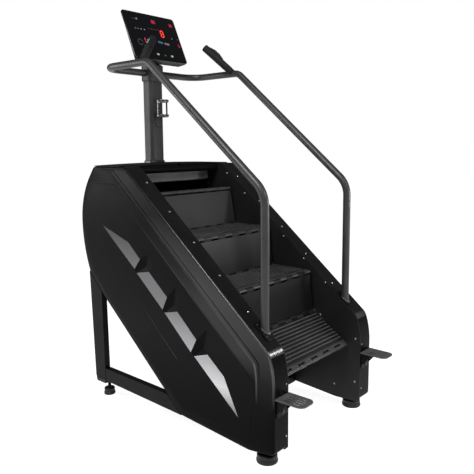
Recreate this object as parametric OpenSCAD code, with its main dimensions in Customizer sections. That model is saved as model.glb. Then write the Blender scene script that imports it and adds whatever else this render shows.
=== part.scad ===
// Stair climber: an endless belt of hinged treads and risers between two side boxes.
// X runs across the machine, -Y faces the user and +Z is up. The origin is on the floor
// under the middle of the machine. An outline is a list of [y, z] points.

/* [Machine] */
// Width over the inlays of the side shells
machine_w = 808; // [800:2:816]
// Clear width between the inner walls
bay_w = 600; // [598:1:602]
// Thickness of the sheet metal walls
sheet_t = 3; // [2:0.5:3]
// Slope of the side boxes
panel_angle = 40; // [39.5:0.1:40.5]
// Height of the flat top of the side boxes
top_z = 1215; // [1210:1:1220]

/* [Stairs] */
// Rise of one step
step_rise = 203; // [202:0.5:204]
// Going of one step
step_going = 258; // [257:0.5:259]
// Distance from a tread's rear hinge to its nosing hinge
tread_depth = 237; // [236:0.5:238]
// Distance between the two hinges of a riser
riser_depth = 204.1; // [204:0.05:204.5]
// Width of a tread
tread_w = 556; // [552:1:558]
// Number of ribs across the top of a tread
tread_ribs = 10; // [9:1:13]

/* [Belt] */
// Diameter of the hinge rods
rod_d = 14; // [13:0.5:14]
// Diameter of the sprocket shafts
shaft_d = 35; // [30:1:36]
// Radius of the drive wheel on the upper shaft
wheel_r = 150; // [140:1:152]
// Radius of the drive pulley
pulley_r = 38; // [34:1:40]

/* [Rails] */
// Diameter of the handrail tube
rail_d = 36; // [32:1:37]
// Half the distance between the two handrails
rail_x = 324; // [322:1:326]
// Width of the column
column_w = 90; // [84:1:96]
// Depth of the column from front to back
column_d = 72; // [70:1:74]

/* [Console] */
// Width of the console
console_w = 366; // [360:1:370]
// Height of the console along its face
console_h = 278; // [274:1:280]
// Thickness of the console
console_t = 48; // [44:1:49]
// Lean of the console from upright
console_lean = 24; // [22:0.5:26]

/* [Hidden] */

// Gap between parts of one body, and between parts that move past each other
gap = 0.3;
run_gap = 0.05;

// Colours
satin_black = [0.13, 0.13, 0.14];
dark_grey = [0.27, 0.27, 0.28];
tread_black = [0.2, 0.2, 0.21];
steel = [0.62, 0.63, 0.65];
silver = [0.75, 0.76, 0.78];
rubber_black = [0.08, 0.08, 0.08];
glass_black = [0.03, 0.03, 0.04];

// Widths across the machine, from the middle
wall_x = bay_w / 2;
wall_out_x = wall_x + sheet_t;
inlay_x = machine_w / 2;
field_x = inlay_x - 1;
skin_x = field_x - 3;
skin_t = 4;
leg_x = 366;

// Corners of the side boxes
front_y = -563;
rear_y = 696;
crease_y = -538;
top_front_y = 332;
top_rear_y = 577;
front_low_z = 66;
front_arc_z = 345;
crease_z = top_z - (top_front_y - crease_y) * tan(panel_angle);
rear_mid_z = 930;
rear_up_r = 386;
rear_low_r = 689;
rear_up_end = 35;
diag_top = [643, 665];
diag_mid = [500, 524];
diag_low = [96, 176];
belly_point = [-31, 73];

function unit(v) = v / norm(v);
function flip(p) = [for (i = [len(p) - 1:-1:0]) p[i]];
function left_of(a, b) = let (d = unit(b - a)) [-d.y, d.x];
function arc(c, r, a0, a1, n) =
    [for (i = [0:n]) let (a = a0 + (a1 - a0) * i / n) c + r * [cos(a), sin(a)]];
function incline_z(y) = top_z - (top_front_y - y) * tan(panel_angle);

// The rounded corner at b on the way from a to c
function corner(a, b, c, r, n = 5) =
    let (u = unit(a - b), v = unit(c - b), half = acos(u * v) / 2)
    let (p = b + u * r / tan(half), q = b + v * r / tan(half))
    let (o = b + unit(u + v) * r / sin(half))
    let (a0 = atan2(p.y - o.y, p.x - o.x), a1 = atan2(q.y - o.y, q.x - o.x))
    let (turn = (a1 - a0 + 540) % 360 - 180)
    arc(o, r, a0, a0 + turn, n);

// A path moved t to its left, with mitred corners
function shift_path(p, t) = [for (i = [0:len(p) - 1])
    let (last = len(p) - 1)
    let (before = left_of(p[max(i, 1) - 1], p[max(i, 1)]))
    let (after = left_of(p[min(i, last - 1)], p[min(i, last - 1) + 1]))
    let (m = unit(before + after))
    p[i] + m * t / (m * before)];

// The rounded front of a side box
front_r = ((crease_y - front_y) ^ 2 + (crease_z - front_arc_z) ^ 2)
    / (2 * (crease_y - front_y));
front_turn = asin((crease_z - front_arc_z) / front_r);
front_arc = arc([front_y + front_r, front_arc_z], front_r, 180 - front_turn, 180, 6);

// Outline of a side box, counter-clockwise from its lower front corner
bottom_path = [[front_y, front_low_z], [-548, 50], [-430, 44], belly_point];
back_path = concat(
    [belly_point, diag_low, diag_mid],
    arc([rear_y - rear_low_r, rear_mid_z], rear_low_r,
        asin((diag_top.y - rear_mid_z) / rear_low_r), 0, 6),
    arc([rear_y - rear_up_r, rear_mid_z], rear_up_r, 5, rear_up_end, 6));
top_path = concat(
    corner(back_path[len(back_path) - 1], [top_rear_y, top_z], [top_front_y, top_z], 30),
    corner([top_rear_y, top_z], [top_front_y, top_z], [crease_y, crease_z], 30));
cap_path = concat(
    [top_path[len(top_path) - 1] - 0.5 * [cos(panel_angle), sin(panel_angle)]],
    corner([top_front_y, top_z], [crease_y, crease_z], front_arc[1], 12, 4),
    [for (i = [1:6]) front_arc[i]],
    [[front_y, front_low_z + sheet_t + gap]]);
rim_path = concat(bottom_path, [for (i = [1:len(back_path) - 1]) back_path[i]], top_path);
side_outline = concat(rim_path, [for (i = [1:len(cap_path) - 2]) cap_path[i]]);

// Belt: eight steps round two sprockets, three pitches of straight run on each side
pitch = norm([step_going, step_rise]);
run_angle = atan2(step_rise, step_going);
sprocket_r = pitch / PI;
run_len = 3 * pitch;
down = [-cos(run_angle), -sin(run_angle)];
inward = [sin(run_angle), -cos(run_angle)];
first_hinge = [-298, 471];
before_turn = 88;
low_tangent = first_hinge + before_turn * down;
top_tangent = low_tangent - run_len * down;
low_axis = low_tangent + sprocket_r * inward;
top_axis = top_tangent + sprocket_r * inward;
sprocket_teeth = 24;
sprocket_x = 288;
mid_axis = (low_axis + top_axis) / 2;

// A point of the belt, s along it from the upper end of the front run
function degrees_of(s) = s / sprocket_r * 180 / PI;
function belt_point(s) =
    let (m = s - 8 * pitch * floor(s / (8 * pitch)))
    m < run_len ? top_tangent + m * down :
    m < 4 * pitch ? let (a = degrees_of(m - run_len))
        low_axis + sprocket_r * (sin(a) * down - cos(a) * inward) :
    m < 4 * pitch + run_len ? low_axis + sprocket_r * inward - (m - 4 * pitch) * down :
    let (a = degrees_of(m - 4 * pitch - run_len))
        top_axis + sprocket_r * (cos(a) * inward - sin(a) * down);

// Inner hinge k and the nosing in front of it
function hinge(k) = belt_point(run_len - before_turn - k * pitch);
function nosing(k) =
    let (a = hinge(k), b = hinge(k - 1), span = norm(b - a), e = (b - a) / span)
    let (x = (tread_depth ^ 2 - riser_depth ^ 2 + span ^ 2) / (2 * span))
    a + e * x - [-e.y, e.x] * sqrt(tread_depth ^ 2 - x ^ 2);

// Knuckles along the hinges: even places belong to the tread, odd ones to the riser
knuckle_count = 11;
knuckle_r = 12;
knuckle_pitch = tread_w / knuckle_count;
pin_d = 9;
plate_start = 16;

// Handrail
rail_y = -460;
rail_bend = [rail_y, 1123];
rail_top_z = 1703;
rail_top_y = 225;
rail_low_r = 120;
rail_high_r = 64;
crossbar_y = 568;
corner_r = 95;

// Stub grip: from the handrail's upper bend up and inward
grip_start = [rail_x, 264, rail_top_z + 4];
grip_end = [182, 345, 1839];
grip_dir = grip_end - grip_start;
grip_len = norm(grip_dir);
grip_r = 19.5;
pod_z = 0.50 * grip_len;

// Column and console
column_y = 562;
column_z = 1180;
collar_z = 1660;
column_top_z = 1745;
console_low = [472, 1763];

// Feet
front_foot = [350, -491];
rear_foot = [357, 568];
leg_low_z = 75;
leg_front_y = 541;
foot_block_x = 338;
foot_block_l = 60;
foot_block_h = 30;

// Draws a profile of [y, z] points as a slab between two X positions
module slab(x0, x1) {
    translate([x0, 0, 0]) rotate([90, 0, 90]) linear_extrude(x1 - x0) children();
}

// A sheet of thickness t on the left of a path
module sheet(path, t) {
    polygon(concat(path, flip(shift_path(path, t))));
}

module on_side(s) {
    if (s < 0) mirror([1, 0, 0]) children();
    else children();
}

module both_sides() {
    children();
    mirror([1, 0, 0]) children();
}

// A rod along X
module x_rod(x0, x1, y, z, r) {
    translate([x0, y, z]) rotate([0, 90, 0]) cylinder(h = x1 - x0, r = r, $fn = 48);
}

module rounded_rect(w, d, r) {
    square([w - 2 * r, d], center = true);
    square([w, d - 2 * r], center = true);
    for (x = [-1, 1], y = [-1, 1])
        translate([x * (w / 2 - r), y * (d / 2 - r)]) circle(r = r, $fn = 32);
}

// --- Side boxes ---

field_path = [
    [-470, 335], [-395, 412], [310, 1018], [400, 1130], [560, 1130], [620, 1040],
    [650, 920], [632, 790], [590, 675], [487, 560], [62, 205], [-60, 120], [-440, 120]
];

module side_shell() {
    color(satin_black) difference() {
        union() {
            slab(skin_x - skin_t, skin_x) polygon(side_outline);
            slab(skin_x - 1, field_x) polygon(field_path);
            slab(wall_out_x + gap, skin_x - 1) sheet(rim_path, sheet_t);
        }
        translate([front_foot.x, front_foot.y, 0]) cylinder(h = 120, r = 9, $fn = 32);
    }
}
module side_shell_l() { on_side(-1) side_shell(); }
module side_shell_r() { side_shell(); }

// Four inlays down the slope, each a slanted kite
inlays = [
    [[508, 920], [313, 854], [229, 780], [271, 728], [416, 843]],
    [[256, 710], [168, 727], [46, 625], [79, 561]],
    [[65, 549], [-20, 569], [-138, 463], [-102, 398]],
    [[-123, 384], [-205, 410], [-299, 336], [-378, 176]]
];

module side_inlays() {
    color(silver) both_sides()
        for (p = inlays) slab(field_x + 0.02, inlay_x) polygon(p);
}

module stringer_cap() {
    color(satin_black)
        slab(wall_out_x + gap, skin_x - skin_t - gap) sheet(cap_path, sheet_t);
}
module stringer_cap_l() { on_side(-1) stringer_cap(); }
module stringer_cap_r() { stringer_cap(); }

module inner_wall(motor_hole) {
    color(satin_black) difference() {
        slab(wall_x, wall_out_x) polygon(side_outline);
        for (c = [low_axis, top_axis])
            x_rod(wall_x - 1, wall_out_x + 1, c.x, c.y, shaft_d / 2 + 5);
        if (motor_hole) x_rod(wall_x - 1, wall_out_x + 1, mid_axis.x, mid_axis.y, 20);
    }
}
module inner_wall_l() { on_side(-1) inner_wall(false); }
module inner_wall_r() { inner_wall(true); }

module rear_legs() {
    color(satin_black) both_sides() difference() {
        union() {
            slab(leg_x, skin_x) polygon([
                [548, 570.5], [leg_front_y, leg_low_z], [614, leg_low_z], [625, 104],
                [642, 619], diag_top - [0, 2]]);
            slab(foot_block_x, skin_x) translate([leg_front_y, leg_low_z])
                square([foot_block_l, foot_block_h]);
        }
        translate([rear_foot.x, rear_foot.y, 0]) cylinder(h = 130, r = 9, $fn = 32);
    }
}

module base_rails() {
    color(satin_black) both_sides() slab(leg_x, skin_x) polygon([
        belly_point + [gap, 0], [leg_front_y - gap, 90], [leg_front_y - gap, 158],
        [67, 151]]);
}

module cross_members() {
    color(dark_grey) {
        slab(-wall_x + gap, wall_x - gap) {
            translate([column_y - 45, column_z - 50]) square([61, 49.5]);
            translate([-163, 77]) square([40, 40], center = true);
        }
        for (f = [0.22, 0.78]) let (c = low_axis + f * (top_axis - low_axis))
            translate([0, c.x, c.y]) rotate([run_angle, 0, 0])
                cube([bay_w - 2 * gap, 50, 50], center = true);
    }
}

module top_cover() {
    lip_y = 377;
    lip_r = 20;
    color(satin_black) difference() {
        union() {
            slab(-wall_x + 0.5, wall_x - 0.5) {
                translate([lip_y, top_z - lip_r]) circle(r = lip_r, $fn = 32);
                translate([lip_y, top_z - 2 * lip_r]) square([22, 2 * lip_r]);
                translate([lip_y, top_z - 9]) square([top_rear_y - lip_y, 9]);
            }
            hull() {
                translate([-skin_x + 4, 366, top_z + gap]) cube([2 * skin_x - 8, 211, 1.2]);
                translate([-skin_x + 10, 371, top_z + 3]) cube([2 * skin_x - 20, 201, 0.8]);
            }
        }
        translate([0, column_y, top_z - 20]) linear_extrude(60)
            rounded_rect(column_w + 1, column_d + 1, 18.5);
    }
}

module valance() {
    color(dark_grey) slab(-wall_x + 0.5, wall_x - 0.5)
        sheet([[452, 1122], [444, 1128], [444, 1168], [470, 1180]], -2);
}

module rear_cover() {
    path = concat([[-140, 71]], back_path, [[top_rear_y + 3, top_z - 6.5]]);
    color(satin_black) difference() {
        slab(-wall_x + 0.5, wall_x - 0.5) sheet(path, 2);
        translate(inlet_at - [gap, gap, gap]) cube(inlet_size + 2 * [gap, 30, gap]);
        translate([0, column_y, column_z]) linear_extrude(60)
            rounded_rect(column_w + 1, column_d + 1, 18.5);
    }
}

// Mains inlet with three contact blades in a recess that opens to the rear
inlet_at = [-222, 105, 190];
inlet_size = [44, 45, 32];
recess_size = [26, 20, 18];
module power_inlet() {
    mouth = inlet_at + [inlet_size.x / 2, inlet_size.y, inlet_size.z / 2];
    floor_y = mouth.y - recess_size.y;
    color(rubber_black) difference() {
        translate(inlet_at) cube(inlet_size);
        translate(mouth) cube([recess_size.x, 2 * recess_size.y, recess_size.z], center = true);
    }
    color(steel) for (p = [[-7, -3], [7, -3], [0, 3]])
        translate([mouth.x + p.x - 1, floor_y - 1, mouth.z + p.y - 2]) cube([2, 10, 4]);
}

// --- Column, rails and grips ---

module column() {
    color(dark_grey) difference() {
        translate([0, column_y, column_z]) linear_extrude(column_top_z - column_z)
            rounded_rect(column_w, column_d, 18);
        x_rod(-60, 60, crossbar_y, rail_top_z, rail_d / 2 + gap);
    }
}

module column_boot() {
    color(satin_black) translate([0, column_y, top_z + 4 + gap]) difference() {
        linear_extrude(17) rounded_rect(column_w + 12, column_d + 12, 23);
        translate([0, 0, -1]) linear_extrude(30)
            rounded_rect(column_w + 2 * gap, column_d + 2 * gap, 18.3);
    }
}

module head_collar() {
    color(dark_grey) difference() {
        translate([0, column_y, collar_z]) linear_extrude(column_top_z - collar_z)
            rounded_rect(column_w + 14, column_d + 14, 24);
        translate([0, column_y, collar_z - 1]) linear_extrude(100)
            rounded_rect(column_w + 2 * gap, column_d + 2 * gap, 18.3);
        x_rod(-60, 60, crossbar_y, rail_top_z, rail_d / 2 + gap);
    }
}

// A straight tube between two points
module tube(a, b, r) {
    d = b - a;
    translate(a) rotate([0, acos(d.z / norm(d)), atan2(d.y, d.x)])
        cylinder(h = norm(d), r = r, $fn = 48);
}

// A straight run of rail with a sleeve inside it that reaches into the bends at its ends
module rail_run(a, b) {
    u = (b - a) / norm(b - a);
    tube(a + run_gap * u, b - run_gap * u, rail_d / 2);
    tube(a - 3 * u, b + 3 * u, rail_d / 2 - 1);
}

// A bend in a plane of constant X, from direction angle a0 to a1 in (y, z)
module bend_x(c, r, a0, a1) {
    translate([rail_x, c.x, c.y]) rotate([90, 0, 90]) rotate([0, 0, a0])
        rotate_extrude(angle = a1 - a0, $fn = 96)
            translate([r, 0]) circle(d = rail_d, $fn = 48);
}

module handrail() {
    rise_angle = atan2(rail_top_z - rail_bend.y, rail_top_y - rail_y);
    low_cut = rail_low_r * tan((90 - rise_angle) / 2);
    top_cut = rail_high_r * tan(rise_angle / 2);
    slope = [cos(rise_angle), sin(rise_angle)];
    low_end = rail_bend + low_cut * slope;
    top_start = [rail_top_y, rail_top_z] - top_cut * slope;
    side_start = rail_top_y + top_cut;
    color(dark_grey) difference() {
        union() {
            rail_run([rail_x, rail_y, 500], [rail_x, rail_y, rail_bend.y - low_cut]);
            bend_x([rail_y + rail_low_r, rail_bend.y - low_cut], rail_low_r,
                180, 90 + rise_angle);
            rail_run([rail_x, low_end.x, low_end.y], [rail_x, top_start.x, top_start.y]);
            bend_x([side_start, rail_top_z - rail_high_r], rail_high_r,
                90, 90 + rise_angle);
            rail_run([rail_x, side_start, rail_top_z],
                [rail_x, crossbar_y - corner_r, rail_top_z]);
            translate([rail_x - corner_r, crossbar_y - corner_r, rail_top_z])
                rotate_extrude(angle = 90, $fn = 96)
                    translate([corner_r, 0]) circle(d = rail_d, $fn = 48);
            rail_flange();
        }
        slab(rail_x - 60, rail_x + 60) polygon([
            [rail_y - 90, 400], [rail_y + 90, 400],
            [rail_y + 90, incline_z(rail_y + 90) + gap],
            [rail_y - 76, incline_z(rail_y - 76) + gap], [rail_y - 90, 400]]);
    }
}

module rail_flange() {
    slab(rail_x - 20, rail_x + 34) polygon([
        for (e = [[-48, 0], [48, 0], [48, 7], [-48, 7]])
            [rail_y, incline_z(rail_y)]
                + e.x * [cos(panel_angle), sin(panel_angle)]
                + e.y * [-sin(panel_angle), cos(panel_angle)]]);
}
module handrail_l() { on_side(-1) handrail(); }
module handrail_r() { handrail(); }

module crossbar() {
    color(dark_grey)
        x_rod(-rail_x + corner_r + gap, rail_x - corner_r - gap,
            crossbar_y, rail_top_z, rail_d / 2);
}

// Puts a shape on the grip: its own z runs along the grip and its -x faces the user
module grip_place() {
    translate(grip_start) rotate([0, acos(grip_dir.z / grip_len),
        atan2(grip_dir.y, grip_dir.x)]) children();
}

module grip() {
    color(rubber_black) difference() {
        grip_place() difference() {
            union() {
                cylinder(h = grip_len - 6, r = grip_r, $fn = 48);
                translate([0, 0, grip_len - 6]) cylinder(h = 6, r = grip_r - 3, $fn = 48);
                translate([-28, -14, pod_z]) cube([28, 28, 66]);
            }
            translate([-29, -8, pod_z + 13]) cube([6, 16, 40]);
        }
        tube([rail_x, 100, rail_top_z], [rail_x, 400, rail_top_z], rail_d / 2 + gap);
        tube([rail_x, rail_bend.x, rail_bend.y], [rail_x, rail_top_y, rail_top_z],
            rail_d / 2 + gap);
    }
}
module grip_l() { on_side(-1) grip(); }
module grip_r() { grip(); }

// A rocker cap that sinks into the grip's pod when it is pressed
module speed_button() {
    color(silver) grip_place() translate([-29.5, -7.6, pod_z + 13.4]) cube([5, 15.2, 39.2]);
}
module speed_button_l() { on_side(-1) speed_button(); }
module speed_button_r() { speed_button(); }

// --- Console and bottle holder ---

module console_place() {
    translate([0, console_low.x, console_low.y]) rotate([90 - console_lean, 0, 0])
        translate([0, console_h / 2, 0]) children();
}

module console_back() {
    color(rubber_black) console_place() translate([0, 0, -console_t]) {
        linear_extrude(console_t - 8 - gap) rounded_rect(console_w, console_h, 16);
    }
}

module console_screen() {
    color(glass_black) console_place() translate([0, 0, -8]) linear_extrude(8)
        rounded_rect(console_w, console_h, 16);
}

module console_bracket() {
    up = [sin(console_lean), cos(console_lean)];
    back = console_low + (console_t + gap) * [cos(console_lean), -sin(console_lean)];
    foot_z = column_top_z + gap;
    color(dark_grey) slab(-28, 28) polygon([
        [column_y - 30, foot_z], [column_y + 30, foot_z], [column_y + 30, foot_z + 50],
        back + 165 * up, back + 45 * up]);
}

module bottle_holder() {
    ring_r = 34;
    wall = 3;
    ring_y = column_y - column_d / 2 - ring_r - wall - 1;
    back_y = column_y - column_d / 2 - gap;
    color(dark_grey) {
        difference() {
            union() {
                for (z = [[1470, 12], [1546, 14]]) translate([0, ring_y, z[0]])
                    cylinder(h = z[1], r = ring_r, $fn = 64);
                for (a = [-90, 180, 0]) rotate_about([0, ring_y], a)
                    translate([ring_r - wall, -6, 1466]) cube([wall, 12, 88]);
                translate([-15, ring_y + ring_r - 3, 1420])
                    cube([30, back_y - ring_y - ring_r + 3, 140]);
            }
            translate([0, ring_y, 1472]) cylinder(h = 200, r = ring_r - wall, $fn = 64);
        }
        translate([0, ring_y, 1466]) cylinder(h = 6, r = ring_r - wall + 0.5, $fn = 64);
    }
}

module rotate_about(p, a) {
    translate([p.x, p.y, 0]) rotate([0, 0, a]) children();
}

// --- Feet, pegs and screws ---

module foot_peg() {
    peg_x = 346;
    peg_w = 96;
    tip_y = -rear_y;
    back_y = front_y - gap;
    plate_z = 301;
    plate_mid_y = (tip_y + back_y) / 2;
    color(steel * 0.5) difference() {
        union() {
            translate([peg_x, plate_mid_y, plate_z]) linear_extrude(5)
                rounded_rect(peg_w, back_y - tip_y, 14);
            translate([peg_x - peg_w / 2, back_y - 18, plate_z]) cube([peg_w, 18, 5]);
            translate([peg_x - 38, back_y - 4, 222]) cube([76, 4, plate_z - 222]);
            for (x = [-38, 34]) slab(peg_x + x, peg_x + x + 4)
                polygon([[back_y - 3, 238], [back_y - 3, plate_z + 1],
                    [back_y - 60, plate_z + 1]]);
        }
        for (i = [0:3]) translate([peg_x - 32 + i * 18.3, tip_y + 18, plate_z - 1])
            cube([9, 90, 8]);
    }
}
module foot_pegs() { both_sides() foot_peg(); }

// A levelling foot: rubber pad, steel cup, jam nut and stud
module levelling_foot(place, pad_r, stud_top) {
    color(rubber_black) translate([place.x, place.y, 0])
        rotate_extrude($fn = 64) polygon([[0, 0], [pad_r - 2, 0], [pad_r, 3], [pad_r, 12],
            [pad_r - 2, 15], [pad_r - 2, 33], [pad_r - 5, 36], [0, 36]]);
    color(steel) translate([place.x, place.y, 36]) {
        cylinder(h = 6, r = 15, $fn = 6);
        cylinder(h = stud_top - 36, r = 8, $fn = 32);
    }
}
module front_foot_l() { on_side(-1) levelling_foot(front_foot, 46, 112); }
module front_foot_r() { levelling_foot(front_foot, 46, 112); }
module rear_foot_l() { on_side(-1) levelling_foot(rear_foot, 30, 104); }
module rear_foot_r() { levelling_foot(rear_foot, 30, 104); }

// Button-head screws: on the flange, on the inner wall, on the front and on the pegs
flange_screw_y = [244, 89, -65, -219, -378];
wall_screw_y = [293, 163, 32, -100, -228, -359];
wall_screw_slope = 0.817;
wall_screw_top_z = 1158;

module screw_head() {
    cylinder(h = 2, r = 5.5, $fn = 24);
    translate([0, 0, 2]) cylinder(h = 1.5, r = 3.8, $fn = 24);
}

module screws() {
    color(steel) both_sides() {
        for (y = flange_screw_y) translate([334, y, incline_z(y)])
            rotate([panel_angle, 0, 0]) translate([0, 0, gap]) screw_head();
        for (y = wall_screw_y)
            wall_screw(y, wall_screw_top_z - (wall_screw_y[0] - y) * wall_screw_slope);
        wall_screw(440, 1095);
        wall_screw(-333, 453);
        for (p = [[-535, 370], [-535, 150], [-420, 110]]) wall_screw(p.x, p.y);
        for (p = [[318, 330], [318, 140], [384, 330], [384, 140]])
            translate([p.x, front_y - gap, p.y]) rotate([90, 0, 0]) screw_head();
        translate([346, front_y - 4 - 2 * gap, 240]) rotate([90, 0, 0])
            cylinder(h = 7, r = 8, $fn = 6);
        for (e = [-33, 33]) let (y = rail_y + e * cos(panel_angle))
            translate([rail_x + 22, y, incline_z(y)]) rotate([panel_angle, 0, 0])
                translate([0, 0, 7 + gap]) cylinder(h = 5, r = 7, $fn = 6);
    }
}

module wall_screw(y, z) {
    translate([wall_x - gap, y, z]) rotate([0, -90, 0]) screw_head();
}

// --- Shafts, chains and drive ---

module shaft_bearings() {
    color(dark_grey) both_sides() for (c = [low_axis, top_axis]) difference() {
        union() {
            x_rod(wall_out_x + gap, wall_out_x + 9, c.x, c.y, 46);
            x_rod(wall_out_x + gap, wall_out_x + 24, c.x, c.y, 31);
        }
        x_rod(wall_out_x - 1, wall_out_x + 30, c.x, c.y, shaft_d / 2 + run_gap);
    }
}

// Twenty-four teeth, with a gap between teeth at the angle first
module sprocket(first) {
    step = 360 / sprocket_teeth;
    difference() {
        linear_extrude(3.2)
            polygon([for (i = [0:sprocket_teeth - 1], e = [[-0.29, -9], [0.29, -9],
                [0.37, 2], [0.46, 5], [0.54, 5], [0.63, 2]])
                (sprocket_r + e[1]) * [cos(first + (i + e[0]) * step),
                    sin(first + (i + e[0]) * step)]]);
        for (i = [0:5]) rotate([0, 0, i * 60 + 15]) translate([62, 0, -1])
            cylinder(h = 6, r = 17, $fn = 40);
    }
}

module sprocket_pair(c, k) {
    v = hinge(k) - c;
    for (x = [-sprocket_x - 1.6, sprocket_x - 1.6])
        translate([x, c.x, c.y]) rotate([90, 0, 90]) sprocket(atan2(v.y, v.x));
    for (s = [-1, 1]) on_side(s) x_rod(sprocket_x - 24, sprocket_x + 6, c.x, c.y, 33);
}

module upper_shaft() {
    color(steel) {
        x_rod(-wall_x - 34, wall_x + 72, top_axis.x, top_axis.y, shaft_d / 2);
        sprocket_pair(top_axis, 3);
    }
}

module lower_shaft() {
    color(steel) {
        x_rod(-wall_x - 34, wall_x + 34, low_axis.x, low_axis.y, shaft_d / 2);
        sprocket_pair(low_axis, 7);
    }
}

drive_x0 = 345;
drive_x1 = 367;

module drive_wheel() {
    color(dark_grey) difference() {
        union() {
            x_rod(drive_x0, drive_x1, top_axis.x, top_axis.y, wheel_r);
            x_rod(drive_x0 - 8, drive_x1 + 4, top_axis.x, top_axis.y, 34);
        }
        x_rod(drive_x0 - 20, drive_x1 + 20, top_axis.x, top_axis.y, shaft_d / 2 + run_gap);
        for (i = [0:4]) translate([0, top_axis.x, top_axis.y]) rotate([i * 72, 0, 0])
            x_rod(drive_x0 - 1, drive_x1 + 1, 0, 90, 36);
    }
}

module drive_pulley() {
    color(steel) {
        x_rod(drive_x0, drive_x1, mid_axis.x, mid_axis.y, pulley_r);
        x_rod(200, drive_x1 + 4, mid_axis.x, mid_axis.y, 14);
    }
}

module belt_loop(extra) {
    hull() {
        translate(top_axis) circle(r = wheel_r + extra, $fn = 90);
        translate(mid_axis) circle(r = pulley_r + extra, $fn = 48);
    }
}

module drive_belt() {
    color(rubber_black) slab(drive_x0 + 2, drive_x1 - 2) difference() {
        belt_loop(4.8);
        belt_loop(0.8);
    }
}

module gear_motor() {
    color(dark_grey) difference() {
        union() {
            x_rod(-190, 60, mid_axis.x, mid_axis.y, 60);
            for (i = [0:6]) x_rod(-170 + i * 32, -160 + i * 32, mid_axis.x, mid_axis.y, 64);
            translate([130, mid_axis.x, mid_axis.y]) rotate([run_angle, 0, 0])
                cube([141, 120, 112], center = true);
            x_rod(200, wall_x - gap, mid_axis.x, mid_axis.y, 36);
            translate([wall_x - 4.5, mid_axis.x, mid_axis.y]) rotate([run_angle, 0, 0])
                cube([8, 130, 112], center = true);
        }
        x_rod(190, wall_x + 10, mid_axis.x, mid_axis.y, 14 + run_gap);
    }
}

module control_box() {
    color(steel * 0.7) translate([-380, 40, 470]) cube([60, 190, 220]);
    color(rubber_black) for (i = [0:2])
        translate([-350, 80 + i * 55, 455]) cylinder(h = 15, r = 9, $fn = 32);
}

chain_side = [[281, 283], [293, 295]];
wrap_side = [[284, 286], [290, 292]];

module hinge_rod(k) {
    x_rod(-chain_side[1][1], chain_side[1][1], hinge(k).x, hinge(k).y, rod_d / 2);
}

// The straight plates of one run and the hinge rods that it carries
module chain_run(start, end, rods) {
    along = unit(end - start);
    across = 9 * [-along.y, along.x];
    color(steel) {
        both_sides() for (x = chain_side) slab(x[0], x[1])
            polygon([start + across, start - across, end - across, end + across]);
        for (k = rods) hinge_rod(k);
    }
}

// The plates wrapped half round one sprocket and its hinge rod
module chain_wrap(c, a0, k) {
    color(steel) {
        both_sides() for (x = wrap_side) slab(x[0], x[1]) polygon(concat(
            arc(c, sprocket_r + 8, a0, a0 + 180, 24),
            arc(c, sprocket_r - 8, a0 + 180, a0, 24)));
        hinge_rod(k);
    }
}

module stair_chain_front() { chain_run(top_tangent, low_tangent, [0, 1, 2]); }
module stair_chain_back() {
    chain_run(top_axis + sprocket_r * inward, low_axis + sprocket_r * inward, [4, 5, 6]);
}
module stair_chain_top() { chain_wrap(top_axis, run_angle - 90, 3); }
module stair_chain_low() { chain_wrap(low_axis, run_angle + 90, 7); }

// --- Treads and risers ---

// Places a plate with its hinge axis at the origin and its far hinge along +Y
module plate_place(from, to) {
    d = to - from;
    translate([0, from.x, from.y]) rotate([atan2(d.y, d.x), 0, 0]) children();
}

// Knuckles of one plate at distance d along it: first is 0 for a tread, 1 for a riser
module knuckles(d, first, reach) {
    for (i = [first:2:knuckle_count - 1]) {
        x0 = -tread_w / 2 + i * knuckle_pitch + 0.6;
        x1 = x0 + knuckle_pitch - 1.2;
        x_rod(x0, x1, d, 0, knuckle_r);
        slab(x0, x1) translate([min(d, d + reach), -6])
            square([abs(reach), 12]);
    }
}

// The top of a tread faces -Z in the plate's own frame
module tread(k) {
    rib_pitch = (tread_depth - 2 * plate_start - 14) / tread_ribs;
    color(tread_black) plate_place(hinge(k), nosing(k)) difference() {
        union() {
            slab(-tread_w / 2, tread_w / 2) polygon(concat(
                [[plate_start, 7], [plate_start, -7]],
                [for (i = [0:tread_ribs - 1], e = [[0.15, -7], [0.25, -11], [0.65, -11],
                    [0.75, -7]]) [plate_start + 7 + (i + e[0]) * rib_pitch, e[1]]],
                [[tread_depth - plate_start, -7], [tread_depth - plate_start, 7]]));
            knuckles(0, 0, plate_start + 1);
            knuckles(tread_depth, 0, -plate_start - 1);
        }
        x_rod(-tread_w, tread_w, 0, 0, rod_d / 2 + run_gap);
    }
    color(steel) plate_place(hinge(k), nosing(k))
        x_rod(-tread_w / 2 + 4, tread_w / 2 - 4, tread_depth, 0, pin_d / 2);
}

// A riser hangs on a hinge rod. Where its nosing rides on the same run, its upper
// knuckles close round the nosing pin; elsewhere the nosing keeps a working gap.
module riser(k, closed) {
    end = riser_depth - plate_start - 2;
    color(dark_grey) plate_place(hinge(k), nosing(k + 1)) difference() {
        union() {
            slab(-tread_w / 2, tread_w / 2)
                translate([plate_start, -4]) square([end - plate_start, 8]);
            knuckles(0, 1, plate_start + 1);
            if (closed) knuckles(riser_depth, 1, -plate_start - 3);
        }
        x_rod(-tread_w, tread_w, 0, 0, rod_d / 2 + run_gap);
        if (closed) x_rod(-tread_w, tread_w, riser_depth, 0, pin_d / 2 + run_gap);
    }
}

module tread_0() { tread(0); }
module tread_1() { tread(1); }
module tread_2() { tread(2); }
module tread_3() { tread(3); }
module tread_4() { tread(4); }
module tread_7() { tread(7); }
module treads_back() { for (k = [5, 6]) tread(k); }
module riser_0() { riser(0, true); }
module riser_1() { riser(1, true); }
module riser_2() { riser(2, false); }
module riser_3() { riser(3, false); }
module riser_6() { riser(6, false); }
module riser_7() { riser(7, false); }
module risers_back() { for (k = [4, 5]) riser(k, true); }

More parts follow.
